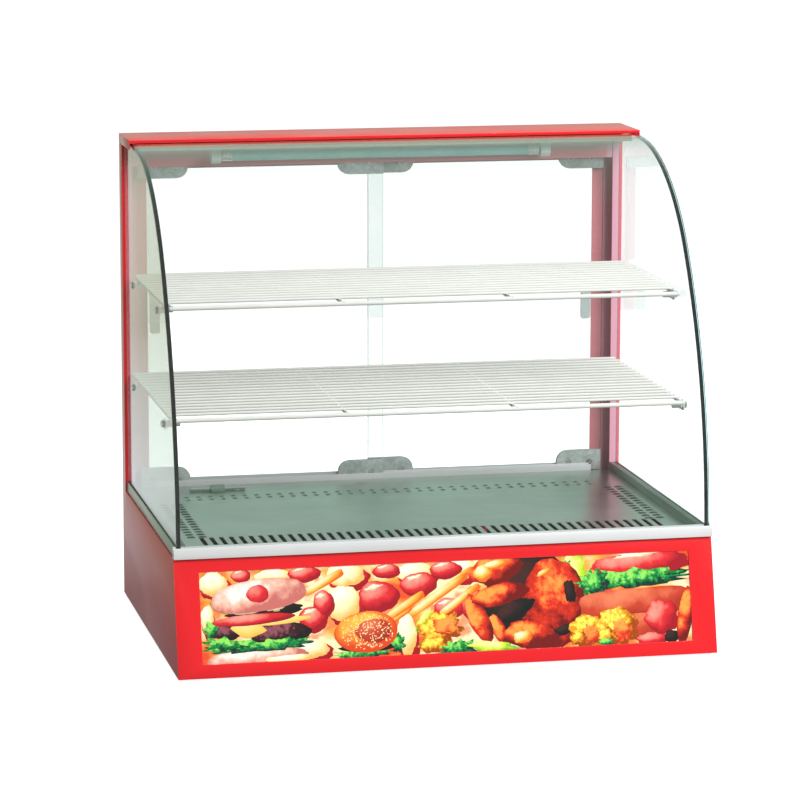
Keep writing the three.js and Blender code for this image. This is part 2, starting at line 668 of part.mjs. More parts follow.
function header() {
  const railHalf = half - COLUMN_FACE - GAP;
  const ceiling = capUnder - GAP;
  const low = top - TOP_RAIL_H;
  const lipHalf = half - COLUMN_LIP - GAP;
  const wall = (reach, y0, y1, z0) => box(-reach, reach, y0, y1, z0, ceiling);
  add('top_rail', joined([
    box(-railHalf, railHalf, columnFront, rear, ceiling - SHEET, ceiling),
    wall(railHalf, columnFront, columnFront + SHEET, low),
    wall(railHalf, laneEdge - SHEET / 2, laneEdge + SHEET / 2, low + RAIL_DIVIDER_UP),
    wall(lipHalf, rearIn, rear, low - RAIL_LIP_DOWN),
  ]), redPaint());
  const lipBack = capFront + SHEET;
  add('top_cap', joined([
    box(-half, half, capFront, rear, capUnder, top),
    box(-half, -inner, capFront, rear, capUnder - CAP_FLANGE, top),
    box(inner, half, capFront, rear, capUnder - CAP_FLANGE, top),
    box(-half, half, capFront, lipBack, capUnder - CAP_LIP, top),
  ]), redPaint());
  const plate = top - LINER_DROP;
  const lipTop = capUnder - CAP_LIP - GAP - GLASS - 2 * GAP;
  const lip = capFront + LINER_SETBACK;
  const backFace = columnFront - GAP;
  const reach = glassIn - FIT;
  add('top_liner', joined([
    box(-reach, reach, lip, backFace, plate - LINER_T, plate),
    box(-reach, reach, lip, lip + LINER_T, plate - LINER_T, lipTop),
    box(-reach, reach, backFace - LINER_T, backFace, plate - LINER_T, ceiling),
  ]), finish(0xc9c6bd, 0.08, 1));
  lamp(plate - LINER_T - GAP);
}

function lamp(ceiling) {
  const y = at(LAMP_Y);
  const z = top - LAMP_DROP;
  for (const { name, side } of SIDES) {
    const [x0, x1] = mirrored(LAMP_HALF, LAMP_HALF + HOLDER_W, side);
    const low = ceiling - HOLDER_H;
    const w = HOLDER_D / 2;
    const c = HOLDER_CORNER;
    const shape = outline([
      [y - w, ceiling], [y - w, low + c], [y - w + c, low],
      [y + w - c, low], [y + w, low + c], [y + w, ceiling],
    ]);
    add(`${name}_lamp_holder`, barX(shape, x0, x1), finish(0xe9ebe6, 0.5, 0));
  }
  const end = LAMP_HALF - GAP;
  const profile = [[0, -end], [LAMP_R, -end], [LAMP_R, end], [0, end]];
  add('lamp_tube', turned(profile, 'x', 0, y, z, ROUND_SIDES), finish(0xf4f6f4, 0.25, 0));
}

// ---------------------------------------------------------------- doors and their track

function track() {
  const low = baseTop + GAP;
  const high = low + TRACK_H - DECK_RISE + GAP;
  const t = TRACK_WALL;
  const lane = (y0, y1) => box(-trackHalf - FIT, trackHalf + FIT, y0, y1, trackFloor, high + FIT);
  add('bottom_track', joined([box(-trackHalf, trackHalf, columnFront, rearIn, low, high)], [
    lane(columnFront + t, laneEdge - t / 2),
    lane(laneEdge + t / 2, rearIn - t),
  ]), satinAluminium());
}

// A folded corner clip: square at the door's edge, rounded at its free corner towards the middle.
function clip(name, end, x0, x1, lane, upper) {
  const glassLow = baseTop + DOOR_LOW;
  const glassTop = top - DOOR_TOP;
  const z0 = upper ? glassTop + FIT : trackFloor + GAP;
  const z1 = upper ? z0 - CLIP_H : z0 + CLIP_H;
  const r = CLIP_CORNER;
  const sign = upper ? -1 : 1;
  const [cx, start] = end === 'left' ? [x1 - r, 0] : [x0 + r, 90];
  const corner = [];
  for (let i = 0; i <= CLIP_CORNER_STEPS; i += 1) {
    const a = radians(start + (90 * i) / CLIP_CORNER_STEPS);
    corner.push([cx + r * Math.cos(a), z1 - sign * r + sign * r * Math.sin(a)]);
  }
  const far = end === 'left' ? [...corner, [x0, z1]] : [[x1, z1], ...corner];
  const points = [[x0, z0], [x1, z0], ...far];
  const shape = outline(upper ? points.reverse() : points);
  const body = barY(shape, lane - CLIP_T / 2, lane + CLIP_T / 2);
  const t = DOOR_GLASS / 2 + GAP;
  const from = upper ? glassTop - 2 * CLIP_H : glassLow - GAP;
  const to = upper ? glassTop + GAP : glassLow + 2 * CLIP_H;
  add(name, joined([body], [box(x0 - FIT, x1 + FIT, lane - t, lane + t, from, to)]), satinSteel());
}

function door({ name, side }) {
  const lane = side < 0 ? frontLane : rearLane;
  const [x0, x1] = mirrored(-DOOR_LAP, doorOut, side);
  const t = DOOR_GLASS / 2;
  const glassLow = baseTop + DOOR_LOW;
  const glassTop = top - DOOR_TOP;
  add(`${name}_door_glass`, box(x0, x1, lane - t, lane + t, glassLow, glassTop), clearGlass());
  const ends = { left: [x0, x0 + CLIP_L], right: [x1 - CLIP_L, x1] };
  for (const [end, [a, b]] of Object.entries(ends)) {
    clip(`${name}_door_${end}_top_clip`, end, a, b, lane, true);
    clip(`${name}_door_${end}_bottom_clip`, end, a, b, lane, false);
  }
  const x = side * (doorOut - HANDLE_IN);
  const z = foot + HANDLE_Z;
  const w = HANDLE_W / 2;
  const h = HANDLE_H / 2;
  const c = HANDLE_CORNER;
  const pull = outline([
    [x - w + c, z - h], [x + w - c, z - h], [x + w, z - h + c], [x + w, z + h - c],
    [x + w - c, z + h], [x - w + c, z + h], [x - w, z + h - c], [x - w, z - h + c],
  ]);
  const face = lane + t + GAP;
  add(`${name}_door_handle`, barY(pull, face, face + HANDLE_T), finish(0xc9d2cf, 0.3, 0));
}

// ---------------------------------------------------------------- controls on the rear panel

function controls() {
  thermostat();
  SWITCH_X.forEach((x, i) => rockerSwitch(['heat', 'light'][i], x));
  LAMP_X.forEach((x, i) => indicator(['heat', 'power'][i], x));
  inlet();
}

function thermostat() {
  const behind = rearIn - GAP;
  const t = THERMOSTAT / 2;
  const bore = SHAFT_R + GAP;
  const [from, to] = [behind - SHAFT_IN - 2 * FIT, behind + FIT];
  const block = box(KNOB_X - t, KNOB_X + t, behind - THERMOSTAT_DEEP, behind, controlZ - t, controlZ + t);
  add('thermostat_body', joined([block], [
    turned([[0, from], [bore, from], [bore, to], [0, to]], 'y', KNOB_X, 0, controlZ, ROUND_SIDES),
  ]), blackPlastic());
  const under = rear + KNOB_CLEAR;
  const face = under + KNOB_SKIRT;
  const gripHalf = KNOB_R - KNOB_GRIP;
  add('thermostat_knob', joined([
    turned([
      [0, behind - SHAFT_IN], [SHAFT_R, behind - SHAFT_IN], [SHAFT_R, under], [KNOB_R, under],
      [KNOB_R, under + KNOB_RIM], [KNOB_R - KNOB_SLOPE, face], [0, face],
    ], 'y', KNOB_X, 0, controlZ, 2 * TURN_SIDES),
    box(KNOB_X - KNOB_GRIP / 2, KNOB_X + KNOB_GRIP / 2, face - FIT, rear + KNOB_PROUD,
      controlZ - gripHalf, controlZ + gripHalf),
  ]), blackPlastic());
}

function rockerSwitch(name, x) {
  const w = BEZEL_W / 2;
  const h = BEZEL_H / 2;
  const bodyW = w - FIT - GAP;
  const bodyH = h - FIT - GAP;
  const pocketH = bodyH - FIT;
  const face = rear + GAP;
  const block = (a, b, y0, y1) => box(x - a, x + a, y0, y1, controlZ - b, controlZ + b);
  add(`${name}_switch_body`, joined(
    [block(w, h, face, face + BEZEL_T), block(bodyW, bodyH, rear - SWITCH_DEEP, face + BEZEL_T / 2)],
    [block(ROCKER_W / 2 + GAP, pocketH, rear - POCKET_DEEP, face + BEZEL_T + FIT)],
  ), blackPlastic());
  // The rocker is a shallow V that turns about a pin just behind the panel.
  const reach = pocketH - ROCKER_END_CLEAR;
  const section = outline([
    [-ROCKER_HUB, -ROCKER_HUB_H], [ROCKER_END - ROCKER_END_T, -reach - GAP], [ROCKER_END, -reach],
    [ROCKER_MID, 0],
    [ROCKER_END, reach], [ROCKER_END - ROCKER_END_T, reach + GAP], [-ROCKER_HUB, ROCKER_HUB_H],
  ].map(([u, v]) => tilted(u, v, -ROCKER_TILT)).map(([u, v]) => [rear - ROCKER_PIN_IN + u, controlZ + v]));
  add(`${name}_switch_rocker`, barX(section, x - ROCKER_W / 2, x + ROCKER_W / 2), finish(0xb01218, 0.35, 0));
}

function tilted(u, v, degrees) {
  const a = radians(degrees);
  return [u * Math.cos(a) - v * Math.sin(a), u * Math.sin(a) + v * Math.cos(a)];
}

function indicator(name, x) {
  const face = rear + GAP;
  const back = rear - LENS_DEEP;
  const stem = LENS_R - FIT;
  const profile = [
    [0, back], [stem, back], [stem, face], [LENS_R, face], [LENS_R, face + LENS_PROUD / 2],
    [LENS_R - 2 * FIT, face + LENS_PROUD], [0, face + LENS_PROUD],
  ];
  const color = name === 'heat' ? 0xd01818 : 0x28b04a;
  add(`${name}_indicator`, turned(profile, 'y', x, 0, controlZ, ROUND_SIDES), finish(color, 0.2, 0, 0.85));
}

function inlet() {
  const face = rear + GAP;
  const w = INLET_W / 2;
  const h = INLET_H / 2;
  const bodyW = (INLET_W - INLET_H / 2) / 2;
  const bodyH = h - 2 * FIT;
  const block = (a, b, y0, y1) => box(INLET_X - a, INLET_X + a, y0, y1, controlZ - b, controlZ + b);
  const mouth = face + INLET_FLANGE;
  add('cord_inlet', joined(
    [block(w, h, face, mouth), block(bodyW, bodyH, mouth - SOCKET_DEEP - INLET_BACK, face + 1)],
    [block(SOCKET_W / 2, SOCKET_H / 2, mouth - SOCKET_DEEP, mouth + FIT)],
  ), blackPlastic());
}

// ---------------------------------------------------------------- assembly

SIDES.forEach(sidePanel);
frontPanel();
rearPanel();
baseFloor();
trims();
deck();
heating();
probe();
header();
frontGlass();
SIDES.forEach(sideGlass);
SHELVES.forEach(shelf);
SHELVES.forEach(pegs);
track();
SIDES.forEach(door);
controls();

export default group;
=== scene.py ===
# Countertop hot food display case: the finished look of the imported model, in metres, in its own frame.
import json
import math
import random

import bmesh
import bpy
from mathutils import Matrix, Vector

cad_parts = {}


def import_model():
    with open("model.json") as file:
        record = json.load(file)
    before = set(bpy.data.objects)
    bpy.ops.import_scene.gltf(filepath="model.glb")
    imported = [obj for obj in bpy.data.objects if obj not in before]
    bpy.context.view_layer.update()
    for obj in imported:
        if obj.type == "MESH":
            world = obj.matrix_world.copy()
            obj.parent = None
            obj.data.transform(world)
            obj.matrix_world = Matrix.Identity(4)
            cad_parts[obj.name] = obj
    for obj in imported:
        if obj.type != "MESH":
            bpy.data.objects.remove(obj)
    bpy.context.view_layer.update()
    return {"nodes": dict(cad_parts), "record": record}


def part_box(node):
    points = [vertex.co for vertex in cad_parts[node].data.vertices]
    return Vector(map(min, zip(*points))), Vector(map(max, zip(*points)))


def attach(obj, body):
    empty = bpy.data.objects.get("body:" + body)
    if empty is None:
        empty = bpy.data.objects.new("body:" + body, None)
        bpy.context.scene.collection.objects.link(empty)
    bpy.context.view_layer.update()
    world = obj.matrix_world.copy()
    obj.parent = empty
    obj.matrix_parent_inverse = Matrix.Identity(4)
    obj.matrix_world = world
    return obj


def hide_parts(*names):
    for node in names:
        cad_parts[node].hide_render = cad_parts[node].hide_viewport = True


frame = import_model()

nodes = frame["nodes"]
scene = bpy.context.scene

# -------- driving sizes

CASE_REAR = 0.228           # rear face of the case
CASE_FRONT = -0.242         # foot of the front panel
DOOR_EDGE = 0.305           # from the middle to the outer edges of the doors
SIDE_GLASS = 0.3262         # from the middle to just past the side glass
CAP_LIP = 0.0045            # top of the cap, above the painted shade on inward faces
SHEET_ROUND = 0.00045       # edges of folded sheet
GLASS_ROUND = 0.0006        # ground edges of the glass
ROD_R = 0.0019              # shelf wires
FRONT_ROD_R = 0.0028
CROSS_R = 0.002
ROD_PITCH = 0.020
WELD = 0.0008               # how far crossed wires sink into each other
CROSS_IN = 0.004            # outer cross wires, in from the shelf's ends
HOLE_PITCH = 0.015          # small holes along the back of the deck
HOLE_ROWS = (0.099, 0.115)  # from the rear face
HOLE_MARGIN = 0.049         # from the deck's ends
SLOT_PITCH = 0.015          # short slots up both sides of the deck
SLOT_MARGINS = (0.020, 0.034)
SLOT_LENGTH = 0.0105
SLOT_WIDTH = 0.003
SLOTS_FROM = CASE_FRONT + 0.133
SLOTS_TO = CASE_REAR - 0.136
RIVET_IN = 0.016            # rivets, in from a door clip's ends
LAMP_CAP = 0.014            # length of the lamp's end caps
DIAL_MARKS = 11             # marks round the thermostat knob
DIAL_SWEEP = 270            # degrees from the first mark to the last
SKIRT_SLOPE = 32            # slope of the knob's skirt, in degrees
PICTURE_LAP = 0.006         # the front panel laps over the picture's rim
PICTURE_BLEED = 0.003       # the picture runs on under that lap

BODY_OF = {member: body for body, members in frame["record"]["behaviour"]["bodies"].items()
           for member in members}

# -------- camera and studio

CAMERA_AT = Vector((-0.9485, -4.3923, 1.0798))
CAMERA_TO = Vector((-0.0066, 0.028, 0.2805))
CAMERA_LENS = 165
CAMERA_ROLL = 0.08


def linked(name, data):
    made = bpy.data.objects.new(name, data)
    scene.collection.objects.link(made)
    return made


def make_camera():
    data = bpy.data.cameras.new("camera")
    data.lens = CAMERA_LENS
    data.sensor_width = 36
    data.clip_end = 100
    camera = linked("camera", data)
    camera.location = CAMERA_AT
    aim = (CAMERA_TO - CAMERA_AT).to_track_quat("-Z", "Y").to_matrix()
    roll = Matrix.Rotation(math.radians(CAMERA_ROLL), 3, "Z")
    camera.rotation_euler = (aim @ roll).to_euler()
    scene.camera = camera


make_camera()

# -------- node helpers


def add_node(tree, kind, inputs=None, **settings):
    made = tree.nodes.new(kind)
    for key, value in settings.items():
        setattr(made, key, value)
    for key, value in (inputs or {}).items():
        if isinstance(value, bpy.types.NodeSocket):
            tree.links.new(value, made.inputs[key])
        else:
            made.inputs[key].default_value = value
    return made


def maths(tree, operation, a, b=0.5, clamp=False):
    made = add_node(tree, "ShaderNodeMath", {0: a, 1: b}, operation=operation, use_clamp=clamp)
    return made.outputs[0]


def mixed(tree, factor, a, b):
    made = add_node(tree, "ShaderNodeMix", {"Factor": factor}, data_type="RGBA")
    for socket, value in ((made.inputs[6], a), (made.inputs[7], b)):
        if isinstance(value, bpy.types.NodeSocket):
            tree.links.new(value, socket)
        else:
            socket.default_value = (*value, 1)
    return made.outputs[2]


def remapped(tree, value, low, high, to_low=0.0, to_high=1.0):
    made = add_node(tree, "ShaderNodeMapRange", {0: value, 1: low, 2: high, 3: to_low, 4: to_high})
    return made.outputs[0]


def attribute(tree, name):
    return add_node(tree, "ShaderNodeAttribute", attribute_name=name).outputs["Fac"]


def object_coords(tree, stretch=(1, 1, 1)):
    coords = add_node(tree, "ShaderNodeTexCoord").outputs["Object"]
    return add_node(tree, "ShaderNodeMapping", {"Vector": coords, "Scale": stretch}).outputs[0]


def noise_value(tree, scale, detail=3.0, roughness=0.55, stretch=(1, 1, 1)):
    settings = {"Vector": object_coords(tree, stretch), "Scale": scale, "Detail": detail,
                "Roughness": roughness}
    return add_node(tree, "ShaderNodeTexNoise", settings).outputs[0]


def new_group(name, inputs, outputs):
    tree = bpy.data.node_groups.new(name, "ShaderNodeTree")
    for label, default in inputs:
        socket = tree.interface.new_socket(label, in_out="INPUT", socket_type="NodeSocketFloat")
        socket.default_value = default
    for label in outputs:
        tree.interface.new_socket(label, in_out="OUTPUT", socket_type="NodeSocketFloat")
    return tree, tree.nodes.new("NodeGroupInput"), tree.nodes.new("NodeGroupOutput")


def edge_wear_group():
    tree, given, out = new_group("edge_wear", [("Scale", 60), ("Amount", 0.5)], ["Mask"])
    rim = attribute(tree, "rim")
    grain = noise_value(tree, given.outputs["Scale"], 5.0)
    threshold = maths(tree, "SUBTRACT", 0.75, maths(tree, "MULTIPLY", given.outputs["Amount"], 0.4))
    worn = remapped(tree, maths(tree, "SUBTRACT", grain, threshold), 0.0, 0.12)
    tree.links.new(maths(tree, "MULTIPLY", rim, worn, clamp=True), out.inputs["Mask"])
    return tree


def smudge_group():
    tree, given, out = new_group("smudge", [("Scale", 6), ("Contrast", 1)], ["Mask"])
    large = noise_value(tree, given.outputs["Scale"], 4.0, 0.6)
    spread = maths(tree, "MULTIPLY", maths(tree, "SUBTRACT", large, 0.5), given.outputs["Contrast"])
    tree.links.new(maths(tree, "ADD", spread, 0.5, clamp=True), out.inputs["Mask"])
    return tree


def dust_group():
    tree, given, out = new_group("dust", [("Scale", 25), ("Amount", 0.3)], ["Mask"])
    normal = add_node(tree, "ShaderNodeNewGeometry").outputs["Normal"]
    up = add_node(tree, "ShaderNodeSeparateXYZ", {0: normal}).outputs["Z"]
    facing = remapped(tree, up, 0.3, 1.0)
    patches = remapped(tree, noise_value(tree, given.outputs["Scale"], 6.0), 0.35, 0.75)
    settled = maths(tree, "MULTIPLY", facing, patches)
    dusty = maths(tree, "MULTIPLY", settled, given.outputs["Amount"], clamp=True)
    tree.links.new(dusty, out.inputs["Mask"])
    return tree


def grain_group(name, stretch):
    tree, given, out = new_group(name, [("Scale", 1)], ["Value", "Fine"])
    coarse = noise_value(tree, given.outputs["Scale"], 6.0, 0.65, stretch)
    fine = noise_value(tree, given.outputs["Scale"], 2.0, 0.5, tuple(4 * s for s in stretch))
    tree.links.new(coarse, out.inputs["Value"])
    tree.links.new(fine, out.inputs["Fine"])
    return tree


GROUPS = {
    "wear": edge_wear_group(),
    "smudge": smudge_group(),
    "dust": dust_group(),
    "grain_x": grain_group("grain_along_x", (6, 420, 420)),
    "grain_y": grain_group("grain_along_y", (420, 6, 420)),
}


def grouped(tree, name, **values):
    made = tree.nodes.new("ShaderNodeGroup")
    made.node_tree = GROUPS[name]
    for key, value in values.items():
        made.inputs[key].default_value = value
    return made


def mask(tree, name, **values):
    return grouped(tree, name, **values).outputs[0]


def new_material(name, slot=None, **plain):
    made = bpy.data.materials.new(name)
    made.use_nodes = True
    tree = made.node_tree
    surface = tree.nodes["Principled BSDF"]
    for key, value in plain.items():
        label = key.replace("_", " ").title().replace("Ior", "IOR")
        surface.inputs[label].default_value = value
    made["record_slot"] = slot or name
    return made, tree, surface


def surfaced(tree, surface, colour, tone, shiny, dull):
    """A material's colour, and its roughness from shiny to dull as the tone rises."""
    tree.links.new(colour, surface.inputs["Base Color"])
    tree.links.new(remapped(tree, tone, 0.0, 1.0, shiny, dull), surface.inputs["Roughness"])


def add_bump(tree, surface, height, strength, distance):
    settings = {"Strength": strength, "Distance": distance, "Height": height}
    tree.links.new(add_node(tree, "ShaderNodeBump", settings).outputs[0], surface.inputs["Normal"])


# -------- materials


def inward_painted_shade(tree, base):
    """Painted shade and reflection on faces turned inward: dull mauve round the doors, near black in the
    base.
    """
    true_normal = add_node(tree, "ShaderNodeNewGeometry").outputs["True Normal"]
    coords = object_coords(tree)
    flat = add_node(tree, "ShaderNodeVectorMath", {0: coords, 1: (1, 1, 0)}, operation="MULTIPLY")
    facing = add_node(tree, "ShaderNodeVectorMath", {0: true_normal, 1: flat.outputs[0]},
                      operation="DOT_PRODUCT")
    inward = remapped(tree, facing.outputs["Value"], -0.04, -0.08)
    place = add_node(tree, "ShaderNodeSeparateXYZ", {0: coords})
    base_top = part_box("front_panel")[1].z
    upper = remapped(tree, place.outputs["Z"], base_top - 0.003, base_top - 0.001)
    across = maths(tree, "ABSOLUTE", place.outputs["X"])
    behind_door = remapped(tree, across, DOOR_EDGE, DOOR_EDGE + 0.0006)
    # Painted shade and reflection on inward faces above the base: pink within the doors, mauve beyond
    # them.
    dull = mixed(tree, behind_door, (0.95, 0.3, 0.36), (0.85, 0.42, 0.55))
    # Painted shade on inward faces in the base: near black.
    painted_inward_shade = mixed(tree, upper, (0.05, 0.004, 0.005), dull)
    under_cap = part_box("top_cap")[1].z - CAP_LIP
    between = remapped(tree, across, SIDE_GLASS, SIDE_GLASS - 0.0004)
    below = remapped(tree, place.outputs["Z"], under_cap, under_cap - 0.001)
    in_case = maths(tree, "MULTIPLY", maths(tree, "MULTIPLY", inward, between), below)
    return mixed(tree, in_case, base, painted_inward_shade)


def red_paint():
    made, tree, surface = new_material("red_paint", coat_weight=0.35, coat_roughness=0.12)
    smudge = mask(tree, "smudge", Scale=4.0, Contrast=1.4)
    wear = mask(tree, "wear", Scale=90.0, Amount=0.35)
    dust = mask(tree, "dust", Scale=14.0, Amount=0.14)
    rim = attribute(tree, "rim")
    base = mixed(tree, smudge, (0.74, 0.008, 0.014), (0.82, 0.016, 0.022))
    # Faces turned inward take painted shade and reflection.
    base = inward_painted_shade(tree, base)
    # Lighter red along every rounded edge: a painted edge highlight.
    edge = mixed(tree, maths(tree, "MULTIPLY", rim, 0.35), base, (0.9, 0.12, 0.12))
    worn = mixed(tree, wear, edge, (0.62, 0.5, 0.48))
    surfaced(tree, surface, mixed(tree, dust, worn, (0.75, 0.62, 0.55)), smudge, 0.3, 0.42)
    peel = noise_value(tree, 420.0, 2.0)
    add_bump(tree, surface, peel, 0.06, 0.0004)
    return made


def brushed(name, slot, grain, dark, light, rough, stain=None, metal=1.0):
    made, tree, surface = new_material(name, slot, metallic=metal)
    lines = grouped(tree, grain, Scale=1.0)
    smudge = mask(tree, "smudge", Scale=5.0, Contrast=2.0)
    marks = mask(tree, "wear", Scale=50.0, Amount=0.4)
    tone = maths(tree, "ADD", maths(tree, "MULTIPLY", lines.outputs[0], 0.5),
                 maths(tree, "MULTIPLY", smudge, 0.5))
    base = mixed(tree, tone, dark, light)
    if stain:
        spots = remapped(tree, noise_value(tree, 9.0, 7.0, 0.7), 0.62, 0.72, 0.0, 0.35)
        base = mixed(tree, spots, base, stain)
    tree.links.new(mixed(tree, marks, base, (0.85, 0.87, 0.85)), surface.inputs["Base Color"])
    spread = maths(tree, "ADD", rough - 0.08, maths(tree, "MULTIPLY", tone, 0.16))
    tree.links.new(spread, surface.inputs["Roughness"])
    add_bump(tree, surface, lines.outputs[1], 0.12, 0.00008)
    return made


def galvanised():
    made, tree, surface = new_material("galvanised", "satin_steel", metallic=0.45)
    cells = add_node(tree, "ShaderNodeTexVoronoi", {"Vector": object_coords(tree), "Scale": 260.0})
    flecks = add_node(tree, "ShaderNodeSeparateColor", {0: cells.outputs["Color"]}).outputs[0]
    smudge = mask(tree, "smudge", Scale=40.0, Contrast=1.6)
    wear = mask(tree, "wear", Scale=120.0, Amount=0.6)
    tone = maths(tree, "ADD", maths(tree, "MULTIPLY", flecks, 0.4), maths(tree, "MULTIPLY", smudge, 0.6))
    base = mixed(tree, tone, (0.42, 0.5, 0.48), (0.82, 0.88, 0.86))
    surfaced(tree, surface, mixed(tree, wear, base, (0.88, 0.9, 0.88)), tone, 0.52, 0.36)
    add_bump(tree, surface, flecks, 0.08, 0.0001)
    return made


def mirror_steel():
    made, tree, surface = new_material("mirror_steel", metallic=1.0)
    smudge = mask(tree, "smudge", Scale=8.0, Contrast=1.6)
    dust = mask(tree, "dust", Scale=30.0, Amount=0.2)
    # The olive-yellow tint is a painted reflection.
    base = mixed(tree, smudge, (0.56, 0.52, 0.36), (0.74, 0.7, 0.5))
    surfaced(tree, surface, mixed(tree, dust, base, (0.6, 0.58, 0.5)), smudge, 0.05, 0.16)
    ripple = noise_value(tree, 14.0, 1.0, stretch=(1, 3, 1))
    add_bump(tree, surface, ripple, 0.35, 0.002)
    return made


def chrome():
    made, tree, surface = new_material("chrome", metallic=1.0)
    smudge = mask(tree, "smudge", Scale=120.0, Contrast=1.5)
    dust = mask(tree, "dust", Scale=300.0, Amount=0.2)
    base = mixed(tree, smudge, (0.74, 0.76, 0.78), (0.86, 0.88, 0.9))
    surfaced(tree, surface, mixed(tree, dust, base, (0.55, 0.53, 0.48)), smudge, 0.07, 0.2)
    return made


def see_through(tree, surface):
    """Most of the light for shadows and soft bounces goes straight through a clear piece."""
    clear = 0.92
    path = add_node(tree, "ShaderNodeLightPath")
    soft = maths(tree, "MAXIMUM", path.outputs["Is Shadow Ray"], path.outputs["Is Diffuse Ray"])
    solid = maths(tree, "SUBTRACT", 1.0, maths(tree, "MULTIPLY", soft, clear))
    tree.links.new(solid, surface.inputs["Alpha"])


def clear_glass(name, face, edge, edge_dark):
    made, tree, surface = new_material(name, "clear_glass", transmission_weight=1.0, ior=1.5)
    rim = attribute(tree, "edge")
    ground = noise_value(tree, 3.0, stretch=(60, 8, 8))
    tint = mixed(tree, ground, edge_dark, edge)
    tree.links.new(mixed(tree, rim, face, tint), surface.inputs["Base Color"])
    smudge = mask(tree, "smudge", Scale=7.0, Contrast=2.2)
    film = maths(tree, "MULTIPLY", remapped(tree, smudge, 0.6, 1.0), 0.05)
    frosted = maths(tree, "MULTIPLY", rim, 0.12)
    tree.links.new(maths(tree, "ADD", film, frosted), surface.inputs["Roughness"])
    see_through(tree, surface)
    return made


def white_coat(name, dark, light):
    made, tree, surface = new_material(name, "white_coat", coat_weight=0.3, coat_roughness=0.2)
    smudge = mask(tree, "smudge", Scale=30.0, Contrast=1.5)
    dust = mask(tree, "dust", Scale=60.0, Amount=0.12)
    base = mixed(tree, smudge, dark, light)
    surfaced(tree, surface, mixed(tree, dust, base, (0.6, 0.58, 0.5)), smudge, 0.38, 0.5)
    add_bump(tree, surface, noise_value(tree, 240.0, 2.0), 0.1, 0.0003)
    return made


def moulded(name, dark, light, rough, **plain):
    """Moulded plastic: a fine eroded texture, a little tone from patch to patch, rubbed edges."""
    made, tree, surface = new_material(name, **plain)
    smudge = mask(tree, "smudge", Scale=35.0, Contrast=1.4)
    wear = mask(tree, "wear", Scale=200.0, Amount=0.45)
    dust = mask(tree, "dust", Scale=80.0, Amount=0.2)
    base = mixed(tree, smudge, dark, light)
    rubbed = tuple(min(1.0, 1.5 * c + 0.05) for c in light)
    worn = mixed(tree, wear, base, rubbed)
    colour = mixed(tree, dust, worn, (0.5, 0.47, 0.42))
    surfaced(tree, surface, colour, smudge, rough - 0.06, rough + 0.08)
    add_bump(tree, surface, noise_value(tree, 1400.0, 2.0), 0.12, 0.0002)
    return made


def lens(name, dark, light, glow):
    made, tree, surface = new_material(name, transmission_weight=0.35, ior=1.49, emission_strength=0.25)
    fresh = add_node(tree, "ShaderNodeTexVoronoi", {"Vector": object_coords(tree), "Scale": 900.0})
    base = mixed(tree, fresh.outputs["Distance"], light, dark)
    tree.links.new(mixed(tree, fresh.outputs["Distance"], glow, dark), surface.inputs["Emission Color"])
    surfaced(tree, surface, base, mask(tree, "smudge", Scale=90.0, Contrast=1.2), 0.12, 0.25)
    return made


def heated_tube():
    made, tree, surface = new_material("element_steel", metallic=0.9)
    bands = noise_value(tree, 22.0, 5.0, 0.6)
    cool = mixed(tree, remapped(tree, bands, 0.35, 0.5), (0.16, 0.13, 0.2), (0.3, 0.24, 0.16))
    base = mixed(tree, remapped(tree, bands, 0.5, 0.7), cool, (0.42, 0.4, 0.37))
    tree.links.new(base, surface.inputs["Base Color"])
    tree.links.new(remapped(tree, bands, 0.3, 0.7, 0.35, 0.6), surface.inputs["Roughness"])
    add_bump(tree, surface, noise_value(tree, 300.0, 3.0), 0.2, 0.0002)
    return made


RED = red_paint()
STEEL = brushed("satin_steel", "satin_steel", "grain_x", (0.36, 0.48, 0.4), (0.7, 0.86, 0.78), 0.34,
                stain=(0.3, 0.3, 0.2))
DECK_STEEL = brushed("deck_steel", "satin_steel", "grain_x", (0.28, 0.4, 0.32), (0.94, 1.0, 0.98), 0.32,
                     stain=(0.34, 0.32, 0.18))
# A darker copy of the satin steel for the side trims: painted shade.
SHADED_SIDE_STEEL = brushed("shaded_side_trim_steel", "satin_steel", "grain_y", (0.2, 0.27, 0.22),
                     (0.42, 0.5, 0.44), 0.34)
ALUMINIUM = brushed("trim_aluminium", "trim_aluminium", "grain_x", (0.72, 0.74, 0.74),
                    (0.92, 0.94, 0.94), 0.42, metal=0.3)
GALVANISED = galvanised()
MIRROR = mirror_steel()
CHROME = chrome()
FRONT_GLASS = clear_glass("front_glass", (0.97, 0.995, 0.985), (0.2, 0.85, 0.9), (0.03, 0.42, 0.47))
# The left side glass is a darker, greener copy of the clear glass: painted shade on the side away from
# the light.
SHADED_LEFT_GLASS = clear_glass("shaded_left_side_glass", (0.72, 0.84, 0.77), (0.0, 0.07, 0.065), (0.0, 0.015, 0.018))
RIGHT_GLASS = clear_glass("right_side_glass", (0.95, 0.985, 0.98), (0.06, 0.36, 0.42), (0.0, 0.12, 0.16))
DOOR_GLASS = clear_glass("door_glass", (0.845, 0.875, 0.87), (0.2, 0.36, 0.36), (0.1, 0.22, 0.22))
WIRE = white_coat("white_coat", (0.8, 0.8, 0.75), (0.9, 0.9, 0.87))
